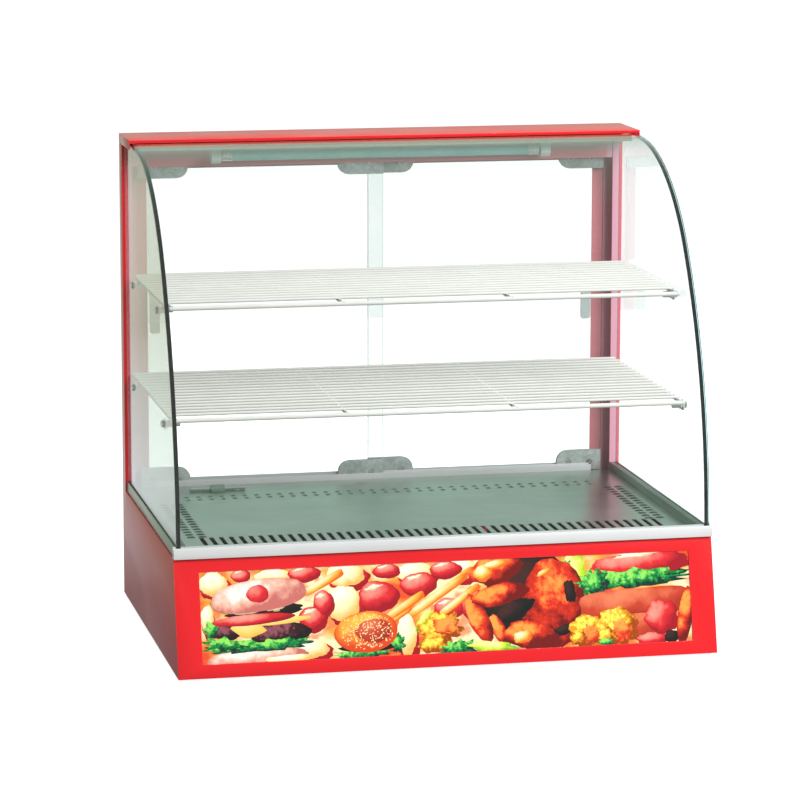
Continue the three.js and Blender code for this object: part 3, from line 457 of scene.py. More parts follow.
# A grey copy of the white coat: painted shade on the wires under the shelves.
SHADED_WIRE = white_coat("shaded_white_coat", (0.3, 0.34, 0.33), (0.6, 0.63, 0.6))
BLACK = moulded("black_plastic", (0.012, 0.012, 0.013), (0.022, 0.022, 0.024), 0.42)
ROCKER_RED = moulded("red_plastic", (0.42, 0.006, 0.01), (0.55, 0.012, 0.016), 0.3)
WHITE = moulded("white_plastic", (0.7, 0.76, 0.73), (0.82, 0.87, 0.84), 0.38)
CLEAR_PLASTIC = moulded("handle_plastic", (0.72, 0.8, 0.79), (0.84, 0.9, 0.89), 0.22,
                        transmission_weight=0.6, ior=1.49)
RUBBER = moulded("rubber", (0.016, 0.016, 0.016), (0.032, 0.031, 0.03), 0.8)
TUBE = moulded("lamp_glass", (0.2, 0.6, 0.55), (0.5, 0.86, 0.82), 0.18, coat_weight=0.6)
RED_LENS = lens("red_lens", (0.3, 0.003, 0.004), (0.8, 0.02, 0.02), (0.9, 0.05, 0.03))
GREEN_LENS = lens("green_lens", (0.004, 0.16, 0.02), (0.03, 0.6, 0.12), (0.05, 0.8, 0.15))
ELEMENT = heated_tube()

# -------- mesh helpers


def middle(lo, hi):
    return [(low + high) / 2 for low, high in zip(lo, hi)]


def finished(name, bm, material, body, replaces=(), smooth_angle=32, outward=True):
    """One piece of the model from a bmesh: smooth where it curves, sharp where it folds."""
    if outward:
        bmesh.ops.recalc_face_normals(bm, faces=bm.faces)
    limit = math.radians(smooth_angle)
    for face in bm.faces:
        face.smooth = True
    for edge in bm.edges:
        edge.smooth = len(edge.link_faces) == 2 and edge.calc_face_angle(0.0) < limit
    made = linked_mesh(name, bm, material)
    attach(made, body)
    if replaces:
        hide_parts(*replaces)


def linked_mesh(name, bm, material):
    mesh = bpy.data.meshes.new(name)
    bm.to_mesh(mesh)
    bm.free()
    mesh.materials.append(material)
    return linked(name, mesh)


def bevelled(bm, edges, width, segments):
    return bmesh.ops.bevel(bm, geom=edges, offset=width, offset_type="OFFSET", affect="EDGES",
                           segments=segments, profile=0.5, material=-1, clamp_overlap=False)["faces"]


def round_edges(bm, width, segments=2, angle=30):
    rim = bm.faces.layers.float.get("rim") or bm.faces.layers.float.new("rim")
    limit = math.radians(angle)
    chosen = [e for e in bm.edges if len(e.link_faces) == 2 and e.calc_face_angle(0.0) > limit]
    for face in bevelled(bm, chosen, width, segments):
        face[rim] = 1.0


def node_bmesh(name):
    bm = bmesh.new()
    bm.from_mesh(nodes[name].data)
    merge_close(bm, 1e-5)
    bmesh.ops.dissolve_limit(bm, angle_limit=math.radians(0.5), verts=bm.verts, edges=bm.edges)
    return bm


def softened(name, material, width=SHEET_ROUND, segments=2, angle=30):
    bm = node_bmesh(name)
    round_edges(bm, width, segments, angle)
    finished(name + "_shaped", bm, material, BODY_OF[name], [name])


def turned(bm, profile, axis, at, steps):
    """A closed turned form: [radius, distance] pairs along an axis through a point."""
    axes = [Vector(row) for row in ((1, 0, 0), (0, 1, 0), (0, 0, 1))]
    turn = "xyz".index(axis)
    along, side = axes[turn], axes[(turn + 1) % 3]
    at = Vector(at)
    verts = [bm.verts.new(at + along * d + side * r) for r, d in profile]
    edges = [bm.edges.new(pair) for pair in zip(verts, verts[1:])]
    bmesh.ops.spin(bm, geom=verts + edges, cent=at, axis=along, angle=2 * math.pi, steps=steps,
                   use_merge=True, use_duplicate=False)


def merge_close(bm, distance=1e-6):
    bmesh.ops.remove_doubles(bm, verts=bm.verts, dist=distance)


def turned_piece(name, material, profile, axis, at, steps, replaced):
    """A turned form that stands in for one CAD node of the cabinet."""
    bm = bmesh.new()
    turned(bm, profile, axis, at, steps)
    merge_close(bm)
    finished(name, bm, material, "cabinet", [replaced])


def wire(bm, start, end, radius, sides=12):
    """A straight wire with its ends rounded over."""
    pinch = 0.35
    start, end = Vector(start), Vector(end)
    along = (end - start).normalized()
    normal = along.orthogonal().normalized()
    cross = along.cross(normal)
    path = [(start, pinch), (start + along * radius * 0.35, 0.8), (start + along * radius, 1.0),
            (end - along * radius, 1.0), (end - along * radius * 0.35, 0.8), (end, pinch)]
    rings = []
    for place, scale in path:
        turns = [2 * math.pi * k / sides for k in range(sides)]
        rings.append([bm.verts.new(place + (normal * math.cos(a) + cross * math.sin(a)) * radius * scale)
                      for a in turns])
    for low, high in zip(rings, rings[1:]):
        for k in range(sides):
            after = (k + 1) % sides
            bm.faces.new((low[k], low[after], high[after], high[k]))
    bm.faces.new(list(reversed(rings[0])))
    bm.faces.new(rings[-1])


def block(bm, lo, hi, rounding, segments=2):
    """A box with its edges rounded."""
    size = Vector(hi) - Vector(lo)
    place = Matrix.Translation((Vector(lo) + Vector(hi)) / 2) @ Matrix.Diagonal((*size, 1))
    verts = bmesh.ops.create_cube(bm, size=1, matrix=place)["verts"]
    bevelled(bm, list({e for v in verts for e in v.link_edges}), rounding, segments)


# -------- base, frame and trims

for sheet_part in ("left_side_panel", "right_side_panel", "front_panel", "rear_panel", "top_rail",
                   "top_cap"):
    softened(sheet_part, RED)
softened("base_floor", STEEL)
softened("front_trim", ALUMINIUM, 0.0005)
# The side trims take the darker steel copy: painted shade.
softened("left_trim", SHADED_SIDE_STEEL, 0.0004)
softened("right_trim", SHADED_SIDE_STEEL, 0.0004)
softened("bottom_track", ALUMINIUM, 0.0003)
softened("top_liner", MIRROR, 0.0003)
softened("probe_clip", STEEL, 0.0002, angle=50)
softened("rear_element_bracket", STEEL, 0.0003)
softened("front_element_bracket", STEEL, 0.0003)


def foot(name):
    lo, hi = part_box(name)
    x, y, _ = middle(lo, hi)
    r = (hi.x - lo.x) / 2
    tall = hi.z - lo.z
    profile = [(0, 0.0008), (r * 0.4, 0.0008), (r * 0.45, 0), (r * 0.82, 0), (r * 0.9, 0.0008),
               (r * 0.93, tall * 0.45), (r * 0.95, tall * 0.5), (r * 0.93, tall * 0.55), (r, tall),
               (0, tall)]
    turned_piece(name + "_pad", RUBBER, profile, "z", (x, y, lo.z), 32, name)


for foot_side in ("left", "right"):
    for foot_end in ("front", "rear"):
        foot(f"{foot_side}_{foot_end}_foot")

# -------- glass


def glass_sheet(name, material, is_edge, width=GLASS_ROUND):
    """A pane with ground edges: the narrow faces round it carry the green of the glass."""
    bm = node_bmesh(name)
    round_edges(bm, width, 2, 40)
    bm.normal_update()
    layer = bm.faces.layers.float.new("edge")
    for face in bm.faces:
        face[layer] = 1.0 if is_edge(face) else 0.0
    finished(name + "_pane", bm, material, BODY_OF[name], [name], smooth_angle=20)


def edge_of_bent_glass(face):
    if abs(face.normal.x) > 0.2:
        return True
    centre = face.calc_center_median()
    at_back = centre.z > glass_hi.z - 0.004 and centre.y > glass_hi.y - 0.003
    return at_back or centre.z < glass_lo.z + 0.001


glass_lo, glass_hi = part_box("front_glass")
glass_sheet("front_glass", FRONT_GLASS, edge_of_bent_glass)
for glass_side, side_glass in (("left", SHADED_LEFT_GLASS), ("right", RIGHT_GLASS)):
    glass_sheet(glass_side + "_glass", side_glass, lambda face: abs(face.normal.x) < 0.8)
    glass_sheet(glass_side + "_door_glass", DOOR_GLASS, lambda face: abs(face.normal.y) < 0.8, 0.0005)

# -------- doors


def rivet(bm, at, facing):
    """A hollow rivet: a rolled ring round a dimple."""
    r = 0.0042
    profile = [(0, 0.0001), (r * 0.45, 0.0001), (r * 0.55, 0.0007), (r * 0.78, 0.0009),
               (r * 0.97, 0.0006), (r, -0.0004), (0, -0.0004)]
    turned(bm, [(radius, facing * d) for radius, d in profile], "y", at, 20)


def door_clip(name):
    softened(name, GALVANISED, 0.0006, 2, 40)
    lo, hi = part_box(name)
    z = (lo.z + hi.z) / 2 + (0.002 if "top" in name else -0.002)
    bm = bmesh.new()
    for x in (lo.x + RIVET_IN, hi.x - RIVET_IN):
        rivet(bm, (x, lo.y, z), -1)
        rivet(bm, (x, hi.y, z), 1)
    merge_close(bm)
    finished(name + "_rivets", bm, CHROME, BODY_OF[name])


def door_handle(name):
    bm = node_bmesh(name)
    round_edges(bm, 0.0009, 3, 20)
    finished(name + "_grip", bm, CLEAR_PLASTIC, BODY_OF[name], [name])


for door_side in ("left", "right"):
    for clip_side in ("left", "right"):
        for clip_level in ("top", "bottom"):
            door_clip(f"{door_side}_door_{clip_side}_{clip_level}_clip")
    door_handle(f"{door_side}_door_handle")

# -------- shelves and pegs


def weld_bead(bm, at, r=0.0021):
    place = Matrix.Translation(at) @ Matrix.Diagonal((1.1, 1.1, 0.7, 1))
    bmesh.ops.create_icosphere(bm, subdivisions=1, radius=r, matrix=place)


def wire_shelf(name):
    lo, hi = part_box(name)
    rod_z = hi.z - ROD_R
    cross_z = rod_z - CROSS_R - ROD_R + WELD
    front = lo.y + FRONT_ROD_R
    bm = bmesh.new()
    crosses = [lo.x + CROSS_IN + i * (hi.x - lo.x - 2 * CROSS_IN) / 3 for i in range(4)]
    y = hi.y - ROD_R
    while y > front + ROD_PITCH:
        wire(bm, (lo.x, y, rod_z), (hi.x, y, rod_z), ROD_R)
        for x in crosses:
            weld_bead(bm, (x, y, (rod_z + cross_z) / 2))
        y -= ROD_PITCH
    wire(bm, (lo.x, front, cross_z), (hi.x, front, cross_z), FRONT_ROD_R, 16)
    finished(name + "_wires", bm, WIRE, name, [name], smooth_angle=50, outward=False)
    # The cross wires and their beads underneath take the grey coat: painted shade.
    under = bmesh.new()
    for x in crosses:
        wire(under, (x, front, cross_z), (x, hi.y, cross_z), CROSS_R)
        weld_bead(under, (x, front, cross_z + 0.0012), 0.0026)
    finished(name + "_cross_wires", under, SHADED_WIRE, name, smooth_angle=50, outward=False)


wire_shelf("upper_shelf")
wire_shelf("lower_shelf")


def shelf_peg(name, washers):
    lo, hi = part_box(name)
    side = 1 if hi.x > 0 else -1
    inner = lo.x if side > 0 else hi.x
    _, y, z = middle(lo, hi)
    disc_r = (hi.z - lo.z) / 2
    pin_r = disc_r * 4 / 7
    length = hi.x - lo.x
    seat = length - 0.0086          # the washer's outer face
    pin = [(0, 0), (pin_r * 0.7, 0), (pin_r, 0.0009), (pin_r, seat - 0.002), (0.0026, seat - 0.002),
           (0.0026, length - 0.003), (0.0045, length - 0.003), (0.0044, length - 0.0018),
           (0.0034, length - 0.0006), (0.0018, length - 0.0001), (0, length)]
    turned_piece(name + "_pin", CHROME, [(r, side * d) for r, d in pin], "x", (inner, y, z), 32, name)
    hole_r = pin_r + 0.0001
    sleeve_r = pin_r + 0.0012
    washer = [(hole_r, seat - 0.0045), (sleeve_r, seat - 0.0045), (sleeve_r, seat - 0.002),
              (disc_r - 0.0004, seat - 0.002), (disc_r, seat - 0.0016), (disc_r, seat - 0.0002),
              (disc_r - 0.0003, seat), (hole_r, seat), (hole_r, seat - 0.0045)]
    turned(washers, [(r, side * d) for r, d in washer], "x", (inner, y, z), 32)


peg_washers = bmesh.new()
for level in ("upper", "lower"):
    for peg_side in ("left", "right"):
        for peg_end in ("rear", "front"):
            shelf_peg(f"{level}_{peg_side}_{peg_end}_peg", peg_washers)
merge_close(peg_washers)
finished("peg_washers", peg_washers, WHITE, "cabinet")

# -------- lamp


def lamp():
    lo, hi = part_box("lamp_tube")
    _, y, z = middle(lo, hi)
    r = (hi.z - lo.z) / 2
    end = hi.x - LAMP_CAP
    profile = [(0, -end - 0.002), (r * 0.8, -end - 0.002), (r * 0.97, -end + 0.001),
               (r * 0.97, end - 0.001), (r * 0.8, end + 0.002), (0, end + 0.002)]
    turned_piece("lamp_glass_tube", TUBE, profile, "x", (0, y, z), 32, "lamp_tube")
    caps = bmesh.new()
    ring = [(0, end - 0.001), (r * 0.9, end - 0.001), (r, end), (r, end + 0.002),
            (r * 0.965, end + 0.0026), (r, end + 0.0032), (r, hi.x - 0.0014), (r * 0.85, hi.x - 0.0002),
            (0, hi.x - 0.0002)]
    for side in (-1, 1):
        turned(caps, [(radius, side * d) for radius, d in ring], "x", (0, y, z), 32)
    merge_close(caps)
    finished("lamp_end_caps", caps, CHROME, "cabinet")


lamp()
softened("left_lamp_holder", WHITE, 0.0009, 3)
softened("right_lamp_holder", WHITE, 0.0009, 3)

# -------- deck details

def refinished(name, material):
    """A CAD node that keeps its shape and takes a finish."""
    materials = nodes[name].data.materials
    materials.clear()
    materials.append(material)


def deck_holes():
    """Rolled rims round the small holes, two rows along the back."""
    _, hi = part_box("deck_plate")
    bm = bmesh.new()
    count = int(2 * (hi.x - HOLE_MARGIN) / HOLE_PITCH) + 1
    rim = [(0.0026, -0.0006), (0.0026, 0.0001), (0.0029, 0.00055), (0.0034, 0.0005), (0.004, 0.0),
           (0.004, -0.0006), (0.0026, -0.0006)]
    for row in HOLE_ROWS:
        for i in range(count):
            x = (i - (count - 1) / 2) * HOLE_PITCH
            turned(bm, rim, "z", (x, CASE_REAR - row, hi.z), 14)
    merge_close(bm)
    finished("deck_hole_rims", bm, STEEL, "cabinet")


def louvre_lip(bm, x, y, z):
    """A curved lip lifted behind a short slot."""
    depth = 0.0022
    lift = 0.0011
    clear = 0.00005             # above the deck's face
    across = 6
    up = 4
    rows = []
    for j in range(up + 1):
        b = j / up
        row = []
        for i in range(across + 1):
            a = -1 + 2 * i / across
            crown = math.sqrt(max(0.0, 1 - a * a * 0.98))
            place = (x + a * SLOT_LENGTH / 2, y + depth * (1 - b), z + lift * b * crown + clear)
            row.append(bm.verts.new(place))
        rows.append(row)
    for low, high in zip(rows, rows[1:]):
        for i in range(across):
            bm.faces.new((low[i], low[i + 1], high[i + 1], high[i]))


def deck_louvres():
    """Raised lips along both columns of side slots."""
    _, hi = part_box("deck_plate")
    bm = bmesh.new()
    y = SLOTS_FROM
    while y < SLOTS_TO:
        for margin in SLOT_MARGINS:
            for side in (-1, 1):
                louvre_lip(bm, side * (hi.x - margin), y + SLOT_WIDTH / 2, hi.z)
        y += SLOT_PITCH
    bmesh.ops.solidify(bm, geom=bm.faces[:], thickness=0.0003)
    finished("deck_louvre_lips", bm, STEEL, "cabinet")


refinished("deck_plate", DECK_STEEL)
deck_holes()
deck_louvres()


def probe():
    lo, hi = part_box("temperature_probe")
    r = (hi.z - lo.z) / 2
    half = (hi.x - lo.x) / 2
    profile = [(0, -half), (r * 0.6, -half + 0.0004), (r * 0.95, -half + 0.002), (r, -half + 0.004),
               (r, half - 0.012), (r * 0.82, half - 0.011), (r * 0.82, half - 0.009), (r, half - 0.008),
               (r, half - 0.002), (r * 0.7, half - 0.0002), (0, half)]
    turned_piece("probe_bulb", CHROME, profile, "x", middle(lo, hi), 28, "temperature_probe")


probe()


def element():
    """The CAD tube, its bends smoothed."""
    bm = bmesh.new()
    bm.from_mesh(nodes["heating_element"].data)
    merge_close(bm, 1e-5)
    bmesh.ops.smooth_vert(bm, verts=bm.verts, factor=0.2, use_axis_x=True, use_axis_y=True,
                          use_axis_z=False)
    finished("heating_element_tube", bm, ELEMENT, "cabinet", ["heating_element"], smooth_angle=60)


element()

# -------- controls at the back


def knob():
    lo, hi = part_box("thermostat_knob")
    x, _, z = middle(lo, hi)
    r = (hi.x - lo.x) / 2
    shaft_r = 0.003
    front = CASE_REAR + 0.0005
    skirt = [(0, lo.y), (shaft_r, lo.y), (shaft_r, front), (r, front), (r, front + 0.0024),
             (r * 0.985, front + 0.003), (r * 0.8, front + 0.0048), (r * 0.76, front + 0.005),
             (0, front + 0.005)]
    bm = bmesh.new()
    turned(bm, skirt, "y", (x, 0, z), 64)
    merge_close(bm)
    grip = 0.0025
    block(bm, (x - grip, front + 0.0045, z - r * 0.73), (x + grip, hi.y, z + r * 0.73), 0.001, 3)
    finished("thermostat_knob_turned", bm, BLACK, "thermostat_knob", ["thermostat_knob"])
    mark = bmesh.new()
    block(mark, (x - 0.0004, hi.y - 0.0004, z + r * 0.3), (x + 0.0004, hi.y + 0.00005, z + r * 0.68),
          0.0001, 1)
    for i in range(DIAL_MARKS):
        a = math.radians(DIAL_SWEEP * (i / (DIAL_MARKS - 1) - 0.5))
        tick = bmesh.new()
        block(tick, (-0.0003, -0.0001, r * 0.8), (0.0003, 0.0001, r * 0.93), 0.00005, 1)
        tick.transform(Matrix.Translation((x, front + 0.0041, z)) @ Matrix.Rotation(a, 4, "Y")
                       @ Matrix.Rotation(math.radians(-SKIRT_SLOPE), 4, "X")
                       @ Matrix.Translation((0, -0.0002, 0)))
        loose = bpy.data.meshes.new("tick")
        tick.to_mesh(loose)
        tick.free()
        mark.from_mesh(loose)
        bpy.data.meshes.remove(loose)
    finished("thermostat_pointer", mark, WHITE, "thermostat_knob")


knob()
softened("thermostat_body", BLACK, 0.0006)
softened("cord_inlet", BLACK, 0.0006)
for switch in ("heat", "light"):
    softened(switch + "_switch_body", BLACK, 0.0004)
    softened(switch + "_switch_rocker", ROCKER_RED, 0.0004, 3, 15)


def indicator(name, material):
    lo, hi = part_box(name)
    x, _, z = middle(lo, hi)
    r = (hi.x - lo.x) / 2
    face = hi.y - 0.003
    profile = [(0, lo.y), (r - 0.001, lo.y), (r - 0.001, face), (r, face), (r, face + 0.0007),
               (r * 0.9, face + 0.0013), (r * 0.82, face + 0.0013), (r * 0.74, face + 0.0019),
               (r * 0.5, face + 0.0026), (0, face + 0.003)]
    turned_piece(name + "_lens", material, profile, "y", (x, 0, z), 32, name)


indicator("heat_indicator", RED_LENS)
indicator("power_indicator", GREEN_LENS)


def inlet_pins():
    lo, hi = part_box("cord_inlet")
    x, _, z = middle(lo, hi)
    floor = hi.y - 0.016
    bm = bmesh.new()
    for dx, dz in ((-0.007, -0.0015), (0, 0.0025), (0.007, -0.0015)):
        block(bm, (x + dx - 0.001, floor - 0.0005, z + dz - 0.002),
              (x + dx + 0.001, hi.y - 0.004, z + dz + 0.002), 0.0004)
    finished("inlet_pins", bm, CHROME, "cabinet")


inlet_pins()

# -------- picture on the front


def food(kind, dark, medium, light, scale, amount, coarse=0.0):
    """A printed food colour: its shade runs from dark to light, broken up by its own texture."""
    made, tree, surface = new_material("food_" + kind, "picture", coat_weight=0.5, coat_roughness=0.08)
    shade = attribute(tree, "shade")
    fine = noise_value(tree, scale, 5.0, 0.62)
    broad = noise_value(tree, scale * 0.2, 2.0)
    swing = maths(tree, "MULTIPLY", maths(tree, "SUBTRACT", fine, 0.5), amount)
    slow = maths(tree, "MULTIPLY", maths(tree, "SUBTRACT", broad, 0.5), coarse)
    tone = maths(tree, "ADD", maths(tree, "ADD", shade, swing), slow, clamp=True)
    low = mixed(tree, remapped(tree, tone, 0.1, 0.55), dark, medium)
    full = mixed(tree, remapped(tree, tone, 0.55, 0.95), low, light)
    surfaced(tree, surface, full, mask(tree, "smudge", Scale=9.0, Contrast=1.5), 0.3, 0.4)
    return made


def backdrop():
    """The picture's out-of-focus ground: cream, orange and red patches."""
    made, tree, surface = new_material("picture_ground", "picture", coat_weight=0.5, coat_roughness=0.08)
    patches = noise_value(tree, 15.0, 3.0, 0.5, (1, 1, 1.6))
    veins = noise_value(tree, 42.0, 2.0, 0.5, (1, 1, 1.6))
    warm = mixed(tree, remapped(tree, patches, 0.38, 0.48), (0.85, 0.08, 0.02), (0.98, 0.42, 0.06))
    pale = mixed(tree, remapped(tree, patches, 0.48, 0.58), warm, (1.0, 0.88, 0.5))
    full = mixed(tree, remapped(tree, veins, 0.52, 0.66, 0.0, 0.7), pale, (0.85, 0.12, 0.04))
    surfaced(tree, surface, full, mask(tree, "smudge", Scale=9.0, Contrast=1.5), 0.3, 0.4)
    return made


refinished("picture_panel", backdrop())

FOODS = {look[0]: food(*look) for look in (
    ("bun", (0.6, 0.16, 0.14), (0.95, 0.5, 0.36), (1.0, 0.95, 0.86), 90.0, 1.2, 0.8),
    ("gold_bun", (0.72, 0.06, 0.01), (0.9, 0.22, 0.02), (1.0, 0.66, 0.08), 60.0, 0.9, 0.6),
    ("sesame", (0.85, 0.5, 0.15), (1.0, 0.8, 0.4), (1.0, 0.95, 0.7), 200.0, 0.2),
    ("lettuce", (0.0, 0.03, 0.02), (0.0, 0.28, 0.05), (0.3, 0.85, 0.12), 150.0, 2.6),
    ("pale_lettuce", (0.1, 0.4, 0.02), (0.6, 0.82, 0.03), (0.95, 1.0, 0.35), 70.0, 1.4),
    ("patty", (0.006, 0.002, 0.004), (0.04, 0.006, 0.012), (0.3, 0.08, 0.11), 210.0, 1.7),
    ("cheese", (0.85, 0.4, 0.05), (1.0, 0.66, 0.14), (1.0, 0.84, 0.36), 40.0, 0.3),
    ("tomato", (0.36, 0.003, 0.014), (0.74, 0.02, 0.03), (1.0, 0.34, 0.26), 55.0, 0.8, 0.6),
    ("onion", (0.5, 0.3, 0.15), (0.9, 0.78, 0.5), (1.0, 0.98, 0.88), 100.0, 0.6),
    ("fries", (0.8, 0.14, 0.01), (0.98, 0.5, 0.06), (1.0, 0.88, 0.5), 50.0, 0.6, 0.6),
    ("roast", (0.16, 0.003, 0.003), (0.74, 0.03, 0.01), (1.0, 0.36, 0.06), 70.0, 1.8, 1.6),
    ("crumb", (0.35, 0.05, 0.0), (0.85, 0.34, 0.01), (1.0, 0.85, 0.1), 170.0, 2.6),
    ("ham", (0.34, 0.02, 0.01), (0.56, 0.05, 0.02), (0.85, 0.22, 0.1), 40.0, 0.9, 0.5),
    ("shadow", (0.004, 0.004, 0.004), (0.012, 0.007, 0.007), (0.05, 0.014, 0.012), 60.0, 0.8),
    ("glow", (0.98, 0.5, 0.12), (1.0, 0.84, 0.42), (1.0, 0.98, 0.82), 60.0, 0.9, 0.6),
)}
LAYER = 0.00004             # between one printed layer and the next
DOME = 0.00003              # rise of a patch to its middle
SHADE_FROM = Vector((-0.35, 0.62, 0.7))
PANEL = {}


def picture_window():
    """The picture's window: its lower left corner, its two directions, its normal and its size."""
    bm = bmesh.new()
    bm.from_mesh(nodes["picture_panel"].data)
    face = max((f for f in bm.faces if f.normal.y < -0.5), key=lambda f: f.calc_area())
    normal = face.normal.copy()
    corners = [v.co.copy() for v in bm.verts]
    bm.free()
    lo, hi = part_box("picture_panel")
    across = Vector((1, 0, 0))
    up = normal.cross(across).normalized()
    if up.z < 0:
        up = -up
    far = max(p.dot(normal) for p in corners)
    heights = [p.dot(up) for p in corners if abs(p.dot(normal) - far) < 1e-5]
    origin = normal * far + up * (min(heights) + PICTURE_LAP) + across * (lo.x + PICTURE_LAP)
    PANEL.update(origin=origin, across=across, up=up, normal=normal, w=hi.x - lo.x - 2 * PICTURE_LAP,
                 h=max(heights) - min(heights) - 2 * PICTURE_LAP)


picture_window()
patches = {name: bmesh.new() for name in FOODS}
for patch in patches.values():
    patch.verts.layers.float.new("shade")


def on_panel(u, v, lift):
    u = min(max(u, -PICTURE_BLEED), PANEL["w"] + PICTURE_BLEED)
    v = min(max(v, -PICTURE_BLEED), PANEL["h"] + PICTURE_BLEED)
    return PANEL["origin"] + PANEL["across"] * u + PANEL["up"] * v + PANEL["normal"] * lift


def blob(kind, u, v, w, h, layer, tilt=0, ruffle=0.05, lobes=5, seed=1, flat=0.0, power=2.0,
         rings=7, sides=40):
    """A patch of one food, in millimetres from the window's lower left corner: an uneven dome.

    Lobes and ruffle roughen its outline, and a power above 2 squares it.
    """
    bm = patches[kind]
    shade = bm.verts.layers.float["shade"]
    a0 = math.radians(tilt)
    start = random.Random(seed)
    phase = [start.uniform(0, 6.3) for _ in range(3)]

    def outline(a):
        wave = math.sin(lobes * a + phase[0]) + 0.6 * math.sin((2 * lobes + 1) * a + phase[1])
        wave += 0.4 * math.sin((4 * lobes + 3) * a + phase[2])
        c = abs(math.cos(a)) ** power + abs(math.sin(a)) ** power
        return (1 + ruffle * wave) / c ** (1 / power)

    def vertex(t, a):
        r = outline(a) * t
        x = r * math.cos(a)
        y = r * math.sin(a)
        dome = (1 - flat) * t
        n = Vector((dome * math.cos(a), dome * math.sin(a), math.sqrt(max(0.02, 1 - dome * dome))))
        pu = w / 2 * x
        pv = h / 2 * y
        co = on_panel((u + pu * math.cos(a0) - pv * math.sin(a0)) / 1000,
                      (v + pu * math.sin(a0) + pv * math.cos(a0)) / 1000,
                      layer * LAYER + DOME * (1 - t * t))
        made = bm.verts.new(co)
        made[shade] = max(0.0, n.dot(SHADE_FROM)) * (1.0 - 0.25 * t ** 4)
        return made

    previous = None
    centre = vertex(0, 0)
    for ring in range(1, rings + 1):
        row = [vertex(ring / rings, 2 * math.pi * k / sides) for k in range(sides)]
        for k in range(sides):
            after = (k + 1) % sides
            if previous is None:
                bm.faces.new((centre, row[k], row[after]))
            else:
                bm.faces.new((previous[k], row[k], row[after], previous[after]))
        previous = row


def seeds_on(u, v, w, h, layer, count, seed):
    scatter = random.Random(seed)
    for _ in range(count):
        a = scatter.uniform(0, 2 * math.pi)
        r = math.sqrt(scatter.uniform(0, 0.85))
        su = u + w / 2 * r * math.cos(a)
        sv = v + h / 2 * r * math.sin(a)
        blob("sesame", su, sv, 1.9, 1.2, layer, scatter.uniform(20, 160), 0, 3, 1, 0.6, 2.0, 1, 8)


def heap(u, v, rows):
    """Patches set out from one place; each row is a food, its place and size, then as for a patch."""
    for kind, right, up, *rest in rows:
        blob(kind, u + right, v + up, *rest)


BURGER = (
    ("bun", -6, -49, 122, 22, 6, 3, 0.04, 3, 3),
    ("glow", 34, -52, 60, 9, 7, 2, 0.06, 4, 5),
    ("lettuce", -5, -34, 124, 16, 8, 3, 0.12, 11, 5, 0.2),
    ("patty", -39, -18, 34, 18, 10, 0, 0.05, 4, 2),
    ("patty", 25, -22, 73, 27, 11, 3, 0.03, 4, 7),
    ("lettuce", 22, -34, 70, 13, 12, 2, 0.22, 9, 9, 0.2),
    ("lettuce", -44, -32, 46, 15, 12, -8, 0.25, 8, 4, 0.2),
    ("lettuce", -58, -14, 16, 20, 12, 0, 0.2, 6, 8, 0.2),
    ("cheese", -14, -15, 44, 22, 13, -6, 0.02, 3, 3, 0.5, 1.25),
    ("cheese", 32, -7, 62, 7, 14, 6, 0.02, 3, 5, 0.5),
    ("tomato", -8, -4, 100, 13, 16, 3, 0.02, 3, 4, 0.2),
    ("shadow", 8, 5, 92, 15, 15, 4, 0.06, 5, 6),
    ("onion", -14, 6, 32, 7, 18, 4, 0.06, 4, 2, 0.3),
    ("onion", 18, 9, 22, 9, 18, 0, 0.14, 5, 8, 0.3),
    ("bun", 0, 24, 115, 38, 20, 6, 0.015, 3, 12, 0.0, 2.4),
    ("tomato", -1, 26, 27, 21, 21, 0, 0.03, 3, 5, 0.55),
)
SESAME_BUN = (
    ("lettuce", -4, -25, 66, 12, 8, 2, 0.2, 12, 3, 0.2),
    ("lettuce", 38, -15, 16, 22, 8, 0, 0.2, 7, 5, 0.2),
    ("shadow", 0, -18, 66, 12, 9, 0, 0.05, 5, 5),
    ("gold_bun", 0, 0, 77, 49, 12, 4, 0.012, 3, 6),
    ("ham", 9, 1, 44, 28, 13, 4, 0.03, 3, 6, 0.5),
)


def fries(mid, sticks):
    for i, (u, up, length, thick, tilt) in enumerate(sticks):
        blob("fries", u, mid + up, length, thick, 3 + i % 3, tilt, 0.01, 3, i, 0.1, 6.0, 5, 24)


def small_tomatoes(mid, spots):
    for i, (u, up, wide, high) in enumerate(spots):
        v = mid + up
        blob("tomato", u, v, wide, high, 3, 0, 0.04, 3, i)
        blob("onion", u - wide * 0.12, v + high * 0.3, wide * 0.4, high * 0.16, 4, 12, 0.2, 4, i, 0.4)


def pale_lumps(mid, spots):
    """Pale potatoes and cut strawberries that fill the ground of the picture."""
    for i, (u, up, wide, high) in enumerate(spots):
        v = mid + up
        blob("tomato", u + wide * 0.1, v - high * 0.2, wide * 1.1, high, 1, 0, 0.06, 4, i)
        blob("glow", u, v, wide, high, 2, 0, 0.05, 4, i + 3, 0.2)


